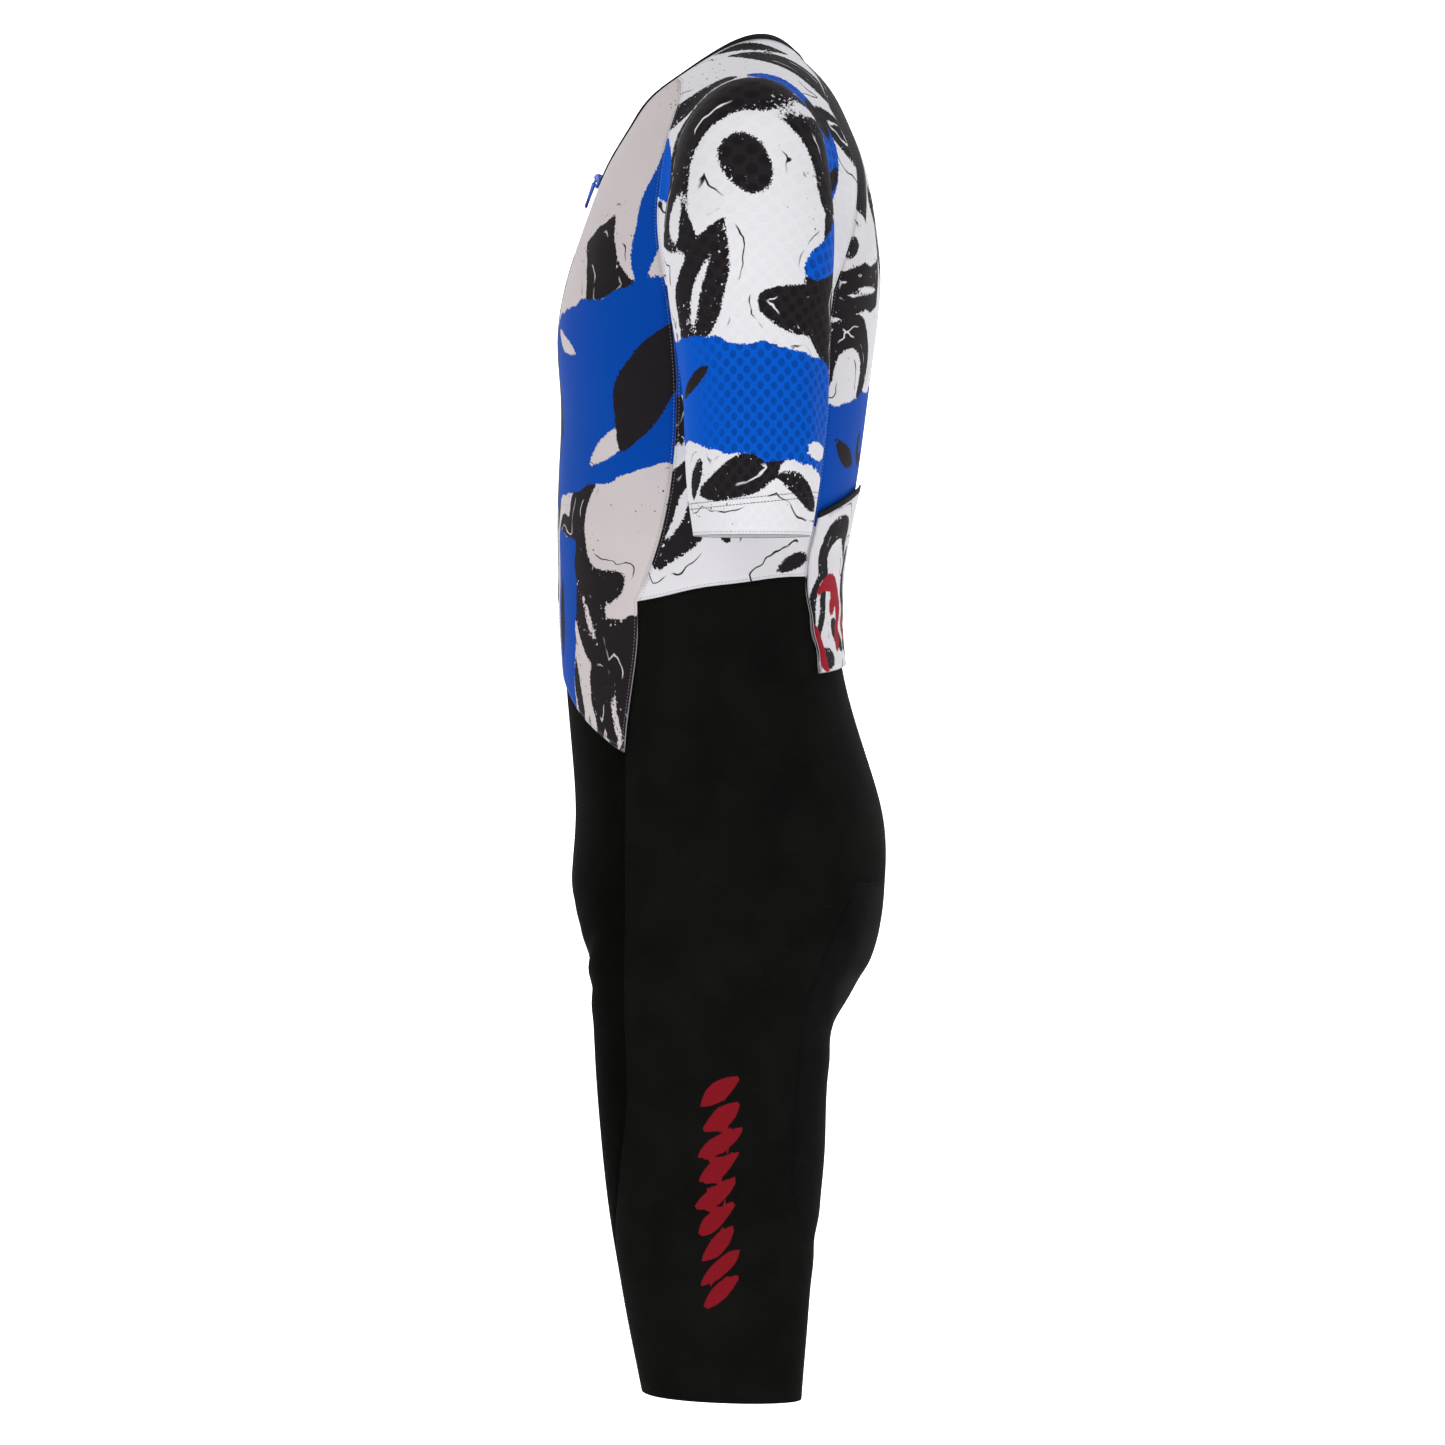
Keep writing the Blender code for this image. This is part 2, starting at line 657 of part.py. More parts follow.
def side_panel(s):
    top = np.vstack([s["valley_front"], s["valley_back"][-2::-1]])
    about = about_trunk(s["side_front"], s["side_back"])
    return sheet(s["side_front"], s["side_back"], 2 * VALLEY, *about, top=top, bottom=s["side_hem"])


def back_panel(s):
    edge = np.vstack([s["raglan_back"], s["side_back"][1:], s["back_tail"][1:]])
    half = BACK_COLUMNS // 2
    heights = np.linspace(s["neck_back"][-1, 2], BACK_HEM_MIDDLE, len(edge))
    middle = face_of(0.0, heights, 1)
    about = about_trunk(edge, middle, 1)
    left = sheet(edge, middle, half, *about, top=s["neck_back"], bottom=s["back_hem"])
    return np.concatenate([left, mirrored(left[:, -2::-1])], axis=1)


def sleeve_panel(s):
    starts = np.vstack([s["raglan_front"], s["valley_front"][1:]])
    ends = np.vstack([s["raglan_back"], s["valley_back"][1:]])
    hem = settled([(215, 8, ARM_HEM[2])])
    under = run(np.vstack([s["valley_front"][-1:], hem]), UNDERARM)[1:]
    starts, ends = np.vstack([starts, under]), np.vstack([ends, under])
    rows = len(starts) - 1
    armhole = RAGLAN + VALLEY
    places = np.array([0, RAGLAN / 2, RAGLAN, armhole, rows]) / rows
    centres = [(28, 8, 0), (95, 8, -52), (165, 8, -112), (223, 9, -207), (255, 8, ARM_HEM[2])]
    axes = [(0.75, 0, -0.66), (0.8, 0, -0.6), (0.6, 0, -0.8), ARM_WAY, (0, 0, -1)]
    centre, axis = smooth_curve(places, centres), smooth_curve(places, axes)

    def toward(t):
        along = axis(t)
        return (-along[2], 0, along[0])

    def whole(angle, end):
        """The start lies in front of the top of the arm and the end behind it."""
        wanted = 1 if end == 0 else -1
        return angle if angle * wanted > 0 else angle + wanted * 2 * np.pi

    return sheet(starts, ends, SLEEVE_COLUMNS, centre, axis, toward, top=s["neck_sleeve"], whole=whole)


def outer_panel(s):
    """The side of the shorts: rows 0 to LEG_END, with the hip's part as a second grid."""
    front = np.vstack([s["front_tail"], s["leg_front"][1:]])
    back = np.vstack([s["back_tail"], s["hip"][1:], s["seat_side"][1:], s["leg_back"][1:]])
    t = np.arange(len(front)) / LEG_END
    heights = (front[:, 2] + back[:, 2]) / 2
    height = smooth_curve(t, heights)
    inward = smooth_curve([0, 0.4, 0.62, 1], [20, 45, 85, 99])

    def centre(t):
        z = float(height(t))
        return np.array([float(inward(t)), -22.0 if z < -560 else float(middle_y(z)), z])

    main = sheet(
        front, back, SHORTS_COLUMNS, centre, lambda t: (0, 0, 1), lambda t: (1, 0, 0), top=s["side_hem"]
    )
    first = BACK_TAIL - 1
    edge = np.vstack([s["back_tail"][first:], s["hip"][1:]])
    drop = np.linspace(BACK_HEM_MIDDLE + 20, -592, len(edge))
    middle = face_of(0.0, drop, 1)
    hip = sheet(edge, middle, HIP_COLUMNS, *about_trunk(edge, middle, 1))
    return main, hip


def seat_panel(s, hip):
    """The seat and the back of the thigh, to a tip."""
    side = s["seat_side"]
    inner = np.vstack([hip[-1, -1:], s["seat_inner"]])
    z = (side[:, 2] + inner[:, 2]) / 2
    t = np.linspace(0, 1, len(side))
    height = smooth_curve(t, z)

    def centre(t):
        return np.array([float(np.interp(t, [0, 0.35, 1], [40, 78, 90])), -10.0, float(height(t))])

    return sheet(side, inner, SEAT_COLUMNS, centre, lambda t: (0, 0, -1), lambda t: (0, 1, 0), top=hip[-1])


def inner_panel(s):
    """The front and the inside of the leg, with a notch for the centre piece."""
    tail = s["front_tail"][-2:]
    edge = np.vstack([tail, s["leg_front"][1:]])
    above = CROTCH - FRONT_TAIL + 2
    start, end = edge[:above], s["centre_front"]
    front = sheet(start, end, INNER_FRONT, *about_trunk(start, end))
    inner = s["seat_inner"]
    lower = CROTCH - APEX
    rise = s["centre_back"][::-1]
    back = sheet(rise, inner[: lower + 1], INNER_BACK, *about_trunk(rise, inner[: lower + 1], 1))
    start = edge[above - 1 :]
    end = np.vstack([inner[lower:], s["leg_back"][1:]])
    columns = INNER_FRONT + INNER_UNDER + INNER_BACK
    top = np.vstack([front[-1], s["centre_under"][1:], back[-1][1:]])
    t = np.linspace(0, 1, len(start))
    height = smooth_curve(t, (start[:, 2] + end[:, 2]) / 2)

    def centre(t):
        z = float(height(t))
        middle, _, leg_front, leg_back = (float(at(z)) for at in LEG_AT)
        return np.array([middle, (leg_front + leg_back) / 2, z])

    leg_part = sheet(start, end, columns, centre, lambda t: (0, 0, 1), lambda t: (-1, 0, 0), top=top)
    return front, back, leg_part


def centre_panel(s):
    """The narrow piece from under the front hem, between the legs and up to the seat."""
    left = np.vstack([s["centre_front"], s["centre_under"][1:], s["centre_back"][1:]])
    right = mirrored(left)
    across = np.linspace(0, 1, CENTRE_COLUMNS + 1)[:, None]
    rows = [a * (1 - across) + b * across for a, b in zip(left, right)]
    grid = settled(np.array(rows))
    grid[:, 0], grid[:, -1] = left, right
    return grid


def both(name, build, colour):
    for side, flip in (("left", 1), ("right", -1)):
        cloth = build(flip)
        cloth.solid(f"{name}_{side}", colour)


def tube(name, rings, colour):
    """A closed bar through rings of points."""
    rings = np.array(rings)
    count, sides = rings.shape[:2]
    faces = [list(range(sides))[::-1], [(count - 1) * sides + k for k in range(sides)]]
    for i in range(count - 1):
        for k in range(sides):
            a, b = i * sides + k, i * sides + (k + 1) % sides
            faces.append([a, b, b + sides, a + sides])
    return make(name, rings.reshape(-1, 3) * MM, faces, colour)


def neck_binding(s):
    """The strip folded over the neck edge, from one side of the zip to the other."""
    left = np.vstack([s["neck_front"], s["neck_sleeve"][1:], s["neck_back"][1:]])
    left[0] = settled([left[0] * 0.55 + left[1] * 0.45])[0]
    path = np.vstack([left, mirrored(left[-2::-1])])
    along = np.gradient(path, axis=0)
    along = along / np.linalg.norm(along, axis=1, keepdims=True)
    out = normal(path)
    up = np.cross(along, out)
    up = up * np.sign(up[len(left) - 1, 2])
    rings = []
    for place, up_way, out_way in zip(path, up, out):
        rings.append([place + up_way * u + out_way * v for u, v in BINDING])
    return tube("neck_binding", rings, BLACK)


def zip_parts(s, front, lift):
    """The closed chain between the fronts and a tape behind each of them."""
    rows = front[:, 0]
    middle = settled(rows * (0, 1, 1))
    edge = settled(middle + (CHAIN_HALF, 0, 0))
    Cloth().add(np.stack([edge, middle, mirrored(edge)], 1), lift - CHAIN_SINK, CHAIN_THICK).solid(
        "zip_chain", BLACK, 0.0
    )
    near, far = settled(middle + (SEAM_GAP, 0, 0)), settled(middle + (TAPE_WIDTH, 0, 0))
    tape = np.stack([near, far], 1)[:TAPE_ROWS]
    depth = (lift - WALL - LAYER_GAP)[:TAPE_ROWS]
    both("zip_tape", lambda f: Cloth().add(flipped(tape, f), depth, TAPE_THICK), BLACK)


def box(name, low, high, colour):
    """A box between two corners, in mm."""
    x, y, z = zip(low, high)
    points = [(x[i], y[j], z[k]) for i in (0, 1) for j in (0, 1) for k in (0, 1)]
    faces = [(0, 1, 3, 2), (4, 6, 7, 5), (0, 4, 5, 1), (2, 3, 7, 6), (0, 2, 6, 4), (1, 5, 7, 3)]
    return make(name, np.array(points) * MM, faces, colour)


def rod(name, half, radius, sides, colour, scale=(1, 1)):
    """A rod along X through the origin."""
    turn = np.arange(sides) * 2 * np.pi / sides
    ring = np.stack([0 * turn, radius * np.cos(turn) * scale[0], radius * np.sin(turn) * scale[1]], -1)
    return tube(name, [ring + (-half, 0, 0), ring + (half, 0, 0)], colour)


def united(body, *others, operation="UNION"):
    for other in others:
        step = body.modifiers.new(operation.lower(), "BOOLEAN")
        step.operation, step.object, step.solver = operation, other, "EXACT"
        other.hide_render = True
        other.display_type = "WIRE"
    return body


def place_on_slope(things, pin, slope_angle):
    """Turns the slider's parts to the chest's slope and moves them to the pin."""
    for thing in things:
        thing.rotation_euler = (slope_angle, 0, 0)
        thing.location = tuple(np.array(pin) * MM)


def zip_slider():
    """The slider with its pin, and the pull tab that turns on the pin, modelled about the pin."""
    start = face_of(0.0, SLIDER_TOP, -1)
    out = normal(start)
    down = np.array([0, out[2], -out[1]])
    down = down if down[2] < 0 else -down
    lift = SLIDER_LIFT + SLIDER_THICK + PIN_RISE
    pin = start + down * PIN_DOWN + out * lift
    lean = float(np.arctan2(down[1], -down[2]))
    top, foot = PIN_DOWN, PIN_DOWN - SLIDER_LENGTH
    half = SLIDER_WIDTH / 2
    body = box("zip_slider", (-half, PIN_RISE, foot), (half, PIN_RISE + SLIDER_THICK, top), BLUE)
    lugs = []
    for side in (-1, 1):
        x = sorted((side * LUG_INSIDE, side * (LUG_INSIDE + LUG_WIDTH)))
        low, high = (x[0], -LUG_HALF, -LUG_HALF), (x[1], PIN_RISE + 0.5, LUG_HALF)
        lugs.append(box(f"lug_{side}", low, high, BLUE))
    bar = rod("pin", LUG_INSIDE + LUG_WIDTH / 2, PIN_RADIUS, 12, BLUE)
    united(body, *lugs, bar)
    eye = rod("zip_pull", EYE_HALF, EYE_RADIUS, 16, BLUE)
    thick = PULL_THICK / 2
    neck = box("pull_neck", (-EYE_HALF, -thick, -6.0), (EYE_HALF, thick, -HOLE_RADIUS), BLUE)
    tab = box("pull_tab", (-PULL_HALF, -thick, -PULL_LENGTH), (PULL_HALF, thick, -4.5), BLUE)
    hole = rod("pull_hole", EYE_HALF + 1, HOLE_RADIUS, 16, BLUE)
    united(eye, neck, tab)
    united(eye, hole, operation="DIFFERENCE")
    place_on_slope([body, *lugs, bar], pin, lean)
    place_on_slope([eye, neck, tab, hole], pin, lean + np.radians(PULL_REST))
    return pin


def between_rows(grid, row):
    """The grid's points at a row that may be a fraction, one value to each column."""
    low = np.minimum(np.floor(row).astype(int), len(grid) - 2)
    part = (row - low)[:, None]
    columns = np.arange(grid.shape[1])
    return grid[low, columns] * (1 - part) + grid[low + 1, columns] * part


def pockets(back, lift):
    """Three open-topped pockets on the lower back, with a stretch edge to each."""
    columns = back.shape[1]
    side = np.abs(np.arange(columns) - (columns - 1) / 2) / ((columns - 1) / 2)
    top = POCKET_ROW_MIDDLE + (POCKET_ROW_SIDE - POCKET_ROW_MIDDLE) * side**2
    last = len(back) - 1.0
    grid, lifts = [], []
    for k in range(POCKET_ROWS + 1):
        row = top + (last - top) * k / POCKET_ROWS
        grid.append(between_rows(back, row))
        mouth = POCKET_MOUTH * max(0, 1 - k / 2.5) ** 2
        below = np.interp(row, np.arange(len(lift)), lift[:, 0])
        lifts.append(below + LAYER_GAP + POCKET_WALL + mouth)
    grid, lifts = np.array(grid), np.array(lifts)
    rim = np.array([between_rows(back, top - EDGE_ROWS), grid[0]])
    rim_lift = np.array([lifts[0] + 0.1, lifts[0]])
    spans = (("left", 0, POCKET_COLUMN), ("centre", POCKET_COLUMN, columns - 1 - POCKET_COLUMN))
    spans += (("right", columns - 1 - POCKET_COLUMN, columns - 1),)
    for name, first, end in spans:
        part = slice(first, end + 1)
        Cloth().add(grid[:, part], lifts[:, part], POCKET_WALL).solid(f"pocket_{name}", WHITE)
        Cloth().add(rim[:, part], rim_lift[:, part], POCKET_WALL).solid(f"pocket_edge_{name}", BLACK)


def flipped(grid, flip):
    return grid if flip > 0 else mirrored(grid)


def build_jersey(s):
    front = front_panel(s)
    rows = len(front)
    lift = hem_lift(rows, 2.2, 4)
    both("front", lambda f: Cloth().add(flipped(front, f), lift), GREY)
    side = side_panel(s)
    both("side", lambda f: Cloth().add(flipped(side, f)), WHITE)
    back = back_panel(s)
    back_lift = hem_lift(len(back), 1.3, 3)
    Cloth().add(back, back_lift).solid("back", WHITE)
    sleeve = sleeve_panel(s)
    walls = np.full(len(sleeve), WALL)
    walls[-2:] = SLEEVE_HEM_WALL
    both("sleeve", lambda f: Cloth().add(flipped(sleeve, f), 0.0, walls[:, None]), WHITE)
    pockets(back, back_lift)
    neck_binding(s)
    zip_parts(s, front, lift)
    zip_slider()


def build_shorts(s):
    main, hip = outer_panel(s)
    seat = seat_panel(s, hip)
    front, back, leg_part = inner_panel(s)
    both("shorts_side", lambda f: Cloth().add(flipped(main, f)).add(flipped(hip, f)), BLACK)
    both("seat", lambda f: Cloth().add(flipped(seat, f)), SATIN)
    both(
        "shorts_inner",
        lambda f: Cloth().add(flipped(front, f)).add(flipped(leg_part, f)).add(flipped(back, f)),
        BLACK,
    )
    Cloth().add(centre_panel(s)).solid("shorts_centre", BLACK)


def main():
    for thing in list(bpy.data.objects):
        bpy.data.objects.remove(thing, do_unlink=True)
    s = seam_set()
    build_jersey(s)
    build_shorts(s)


main()
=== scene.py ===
"""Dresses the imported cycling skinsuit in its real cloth, print, seams and zip.

Every cloth piece starts from its CAD node, is refined on the suit's smooth outer
form and keeps the node's thickness. Lengths in tables are in millimetres.
"""

import json
import logging
import math
from dataclasses import dataclass, field
from enum import Enum
from functools import lru_cache
from typing import Any, Iterable, Sequence

import bmesh
import bpy
import numpy as np
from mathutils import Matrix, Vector


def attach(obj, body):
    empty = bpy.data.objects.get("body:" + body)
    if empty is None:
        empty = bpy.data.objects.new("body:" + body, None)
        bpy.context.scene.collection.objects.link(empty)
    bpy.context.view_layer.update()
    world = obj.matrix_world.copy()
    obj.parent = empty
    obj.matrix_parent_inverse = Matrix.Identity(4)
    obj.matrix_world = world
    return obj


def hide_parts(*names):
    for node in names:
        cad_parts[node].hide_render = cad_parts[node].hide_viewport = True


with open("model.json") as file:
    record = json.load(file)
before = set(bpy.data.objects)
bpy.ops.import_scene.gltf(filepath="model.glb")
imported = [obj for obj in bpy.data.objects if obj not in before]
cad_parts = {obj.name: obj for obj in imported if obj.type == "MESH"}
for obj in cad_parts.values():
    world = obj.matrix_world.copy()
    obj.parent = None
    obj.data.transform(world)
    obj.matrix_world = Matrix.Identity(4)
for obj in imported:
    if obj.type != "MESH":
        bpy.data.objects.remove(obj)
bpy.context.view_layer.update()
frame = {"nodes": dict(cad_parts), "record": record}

MM = 0.001
LOG = logging.getLogger("skinsuit")
Grid = np.ndarray


def linear(code: str) -> tuple[float, float, float, float]:
    """Turns an sRGB hex code to a linear colour.

    Args:
        code: Six hex digits, with or without a leading hash.

    Returns:
        Red, green, blue and an alpha of 1.
    """
    digits = code.lstrip("#")
    parts = [int(digits[k : k + 2], 16) / 255 for k in (0, 2, 4)]
    found = [c / 12.92 if c <= 0.04045 else ((c + 0.055) / 1.055) ** 2.4 for c in parts]
    return (found[0], found[1], found[2], 1.0)


def add(tree: bpy.types.NodeTree, kind: str, inputs: dict[Any, Any] | None = None, **settings: Any) -> Any:
    """Adds a node with its settings, values and links.

    Args:
        tree: The node tree.
        kind: The node's type name, without ShaderNode.
        inputs: Values or sockets by input name or index.
        settings: The node's own properties.

    Returns:
        The new node.
    """
    made = tree.nodes.new("ShaderNode" + kind)
    for name, value in settings.items():
        setattr(made, name, value)
    for name, value in (inputs or {}).items():
        if isinstance(value, bpy.types.NodeSocket):
            tree.links.new(value, made.inputs[name])
        else:
            made.inputs[name].default_value = value
    return made


def smooth_curve(inputs: Any, values: Any) -> Any:
    """Fits a natural cubic through values.

    Args:
        inputs: Where the values are, in any order.
        values: A value or a row of values for each input.

    Returns:
        A function of the input.
    """
    order = np.argsort(inputs)
    x, y = np.asarray(inputs, float)[order], np.asarray(values, float)[order]
    n, h = len(x), np.diff(x)
    system, right = np.eye(n), np.zeros((n,) + y.shape[1:])
    for i in range(1, n - 1):
        system[i, i - 1 : i + 2] = h[i - 1], 2 * (h[i - 1] + h[i]), h[i]
        right[i] = 6 * ((y[i + 1] - y[i]) / h[i] - (y[i] - y[i - 1]) / h[i - 1])
    bend = np.linalg.solve(system, right)

    def value(q: Any) -> Any:
        """The curve's value or values at q."""
        q = np.clip(q, x[0], x[-1])
        i = np.clip(np.searchsorted(x, q) - 1, 0, n - 2)
        extra = (1,) * (y.ndim - 1)
        a, b = np.reshape(x[i + 1] - q, np.shape(q) + extra), np.reshape(q - x[i], np.shape(q) + extra)
        g = np.reshape(h[i], np.shape(q) + extra)
        low, high = y[i] / g - bend[i] * g / 6, y[i + 1] / g - bend[i + 1] * g / 6
        return bend[i] * a**3 / (6 * g) + bend[i + 1] * b**3 / (6 * g) + low * a + high * b

    return value


def smooth_step(value: Grid, low: float, high: float) -> Grid:
    """Rises from 0 at low to 1 at high, with level ends."""
    t = np.clip((value - low) / (high - low), 0, 1)
    return t * t * (3 - 2 * t)


def rounded_union(a: Grid, b: Grid, blend: Any) -> Grid:
    """The union of two distance fields, rounded where they meet."""
    close = np.maximum(blend - np.abs(a - b), 0) / blend
    return np.minimum(a, b) - close * close * blend / 4


@dataclass(frozen=True)
class OuterForm:
    """The smooth form that the cloth lies on, as a distance in millimetres."""

    trunk: tuple[tuple[float, ...], ...] = (
        # height, front, back, half width, roundness in front, roundness behind
        (75, -34, 30, 56, 2.0, 2.0),
        (42, -24, 37, 68, 2.0, 2.0),
        (27, -36, 50, 93, 2.0, 2.0),
        (12, -53, 64, 130, 2.0, 2.05),
        (-3, -71, 74, 152, 2.05, 2.2),
        (-23, -84, 83, 163, 2.1, 2.5),
        (-46, -97, 92, 166, 2.15, 2.8),
        (-91, -116, 102, 163, 2.2, 2.8),
        (-137, -131, 106.5, 158, 2.3, 2.7),
        (-182, -138, 103, 156, 2.3, 2.6),
        (-228, -135.5, 97, 157, 2.3, 2.5),
        (-274, -136.5, 91, 154, 2.25, 2.4),
        (-319, -138, 84, 149, 2.2, 2.3),
        (-365, -137, 77, 144, 2.2, 2.2),
        (-410, -134.5, 75, 142, 2.2, 2.2),
        (-456, -131, 83, 146, 2.2, 2.2),
        (-502, -127, 97, 156, 2.2, 2.2),
        (-547, -125, 109, 166, 2.2, 2.2),
        (-593, -128, 110, 172, 2.2, 2.2),
        (-640, -126, 103, 173, 2.2, 2.2),
        (-700, -118, 84, 168, 2.2, 2.2),
    )
    legs: tuple[tuple[float, ...], ...] = (
        # height, middle, half width, front, back
        (-560, 78, 76, -108, 96),
        (-600, 82, 81, -112, 99),
        (-640, 86, 84, -113, 93),
        (-680, 88, 83, -110.5, 74),
        (-724, 89.5, 80, -108.3, 66.3),
        (-747, 90, 78.5, -106.8, 64.5),
        (-791, 91.5, 76, -103, 63),
        (-836, 93, 72, -97.8, 58.6),
        (-881, 95, 67.5, -90.4, 53.4),
        (-926, 97, 62.5, -82.2, 49.6),
        (-970, 99, 58, -73.3, 45.9),
        (-1000, 100.5, 56, -68, 44),
    )
    arms: tuple[tuple[float, ...], ...] = (
        # way down the arm, half width, half depth, middle
        (-30, 48, 45, 9),
        (0, 50, 52, 8.5),
        (36, 52, 59, 7),
        (70, 53, 62, 6),
        (128, 51, 58, 7.3),
        (179, 49, 53.5, 10),
        (225, 47.5, 50.5, 9.8),
        (270, 44.5, 46.5, 8.4),
        (296, 41, 42.5, 8),
        (330, 38, 38, 7),
    )
    shoulder: tuple[float, float, float] = (185, 0, -50)
    cuff: tuple[float, float, float] = (255, 0, -338)
    arm_cap: float = 47.0
    arm_blend: float = 40.0
    crotch_blend: float = 45.0
    leg_blend_side: float = 4.0
    leg_blend_middle: float = 30.0
    crotch: tuple[float, float, float] = (-694.0, 25.0, 0.00264)

    def columns(self, rows: Sequence[Sequence[float]]) -> list[Any]:
        """One curve for each column of a table after its first."""
        table = np.array(rows, float)
        return [smooth_curve(table[:, 0], table[:, k]) for k in range(1, table.shape[1])]

    def curves(self) -> dict[str, list[Any]]:
        """The curves of the trunk, legs and arms."""
        return {name: self.columns(getattr(self, name)) for name in ("trunk", "legs", "arms")}

    def arm_axis(self) -> tuple[Grid, Grid]:
        """The ways down the arm and out from it."""
        way = np.array(self.cuff) - np.array(self.shoulder)
        way = way / np.linalg.norm(way)
        return way, np.array([-way[2], 0, way[0]])


FORM = OuterForm()
CURVES = FORM.curves()


def oval(across: Grid, along: Grid, half_across: Grid, half_along: Grid, power: Any) -> Grid:
    """About the distance outside an oval of a given roundness."""
    reach = np.hypot(across, along) + 1e-6
    ratio = np.abs(across / half_across) ** power + np.abs(along / half_along) ** power
    return reach - reach / np.maximum(ratio, 1e-6) ** (1 / power)


def middle_y(z: Any) -> Any:
    """The trunk's middle, from front to back, at a height."""
    return (CURVES["trunk"][0](z) + CURVES["trunk"][1](z)) / 2


def outside(p: Grid) -> Grid:
    """About how far points are outside the suit's outer form.

    Args:
        p: Points in millimetres, x, y, z in the last axis.

    Returns:
        Distances in millimetres, negative inside.
    """
    x, y, z = p[..., 0], p[..., 1], p[..., 2]
    front, back, half, power_front, power_back = (at(z) for at in CURVES["trunk"])
    along = y - (front + back) / 2
    wall = oval(x, along, half, (back - front) / 2, np.where(along < 0, power_front, power_back))
    low, place, rise = FORM.crotch
    floor = low + rise * (y - place) ** 2 - z
    trunk = -rounded_union(-wall, -floor, FORM.crotch_blend)
    middle, half, front, back = (at(z) for at in CURVES["legs"])
    thighs = []
    for side in (1, -1):
        wall = oval(side * x - middle, y - (front + back) / 2, half, (back - front) / 2, 2.15)
        thighs.append(-rounded_union(-wall, -(z + 575), 30.0))
    near = np.clip((125 - np.abs(x)) / 70, 0, 1)
    blend = FORM.leg_blend_side + (FORM.leg_blend_middle - FORM.leg_blend_side) * near
    body = rounded_union(trunk, rounded_union(thighs[0], thighs[1], 6.0), blend)
    way, out_way = FORM.arm_axis()
    q = np.stack([np.abs(x), y, z], -1) - FORM.shoulder
    down, out = q @ way, q @ out_way
    half, depth, middle = (at(down) for at in CURVES["arms"])
    side, above = q[..., 1] - middle, np.minimum(down, 0)
    reach = np.sqrt(out**2 + side**2 + above**2) + 1e-6
    ratio = np.sqrt((out / half) ** 2 + (side / depth) ** 2 + (above / FORM.arm_cap) ** 2)
    return rounded_union(body, reach - reach / np.maximum(ratio, 1e-6), FORM.arm_blend)


def slope(p: Grid, step: float = 0.05) -> Grid:
    """The outer form's gradient at points in millimetres."""
    return np.stack([(outside(p + s) - outside(p - s)) / (2 * step) for s in np.eye(3) * step], -1)


def settled(p: Grid, level: Any = 0.0, rounds: int = 3) -> tuple[Grid, Grid]:
    """Moves points along the form's slope to a level above it.

    Args:
        p: Points in millimetres.
        level: Height above the form in millimetres, one value or one to a point.
        rounds: How many steps to take.

    Returns:
        The moved points and the form's normals there.
    """
    p = np.array(p, float)
    for _ in range(rounds):
        g = slope(p)
        p = p - g * np.clip((outside(p) - level) / (g * g).sum(-1), -12, 12)[..., None]
    g = slope(p)
    return p, g / np.linalg.norm(g, axis=-1, keepdims=True)


@lru_cache(maxsize=None)
def on_form(path: tuple[tuple[float, float, float], ...]) -> Grid:
    """A path's points, moved onto the outer form."""
    return settled(np.array(path, float), 0.0, 6)[0]


@dataclass(frozen=True)
class Crease:
    """A soft fold in the cloth, drawn between points on the left side."""

    path: tuple[tuple[float, float, float], ...]
    width: float
    depth: float

    def drop(self, p: Grid) -> Grid:
        """How far the crease moves points out, in millimetres."""
        line = on_form(self.path)
        reach = 5 * self.width
        near = ((p > line.min(0) - reach) & (p < line.max(0) + reach)).all(1)
        total = np.zeros(len(p))
        if near.any():
            total[near] = self.profile(p[near], line)
        return total

    def profile(self, p: Grid, line: Grid) -> Grid:
        """A valley along the line with a soft ridge on each side of it.

        Args:
            p: Points in millimetres.
            line: The crease's points on the form.

        Returns:
            How far each point moves out.
        """
        best, place, run = np.full(len(p), 1e9), np.zeros(len(p)), 0.0
        whole = np.linalg.norm(np.diff(line, axis=0), axis=1).sum()
        for a, b in zip(line[:-1], line[1:]):
            way = b - a
            length = np.linalg.norm(way)
            t = np.clip((p - a) @ way / length**2, 0, 1)
            far = np.linalg.norm(p - a - t[:, None] * way, axis=1)
            place = np.where(far < best, (run + t * length) / whole, place)
            best, run = np.minimum(best, far), run + length
        ends = smooth_step(place, 0.0, 0.25) * smooth_step(1 - place, 0.0, 0.3)
        uneven = 0.75 + 0.25 * np.sin(place * 9 + line[0, 2])
        valley = -np.exp(-((best / self.width) ** 2))
        ridge = 0.55 * np.exp(-(((best - 1.9 * self.width) / self.width) ** 2))
        return 1.3 * self.depth * ends * uneven * (valley + ridge)


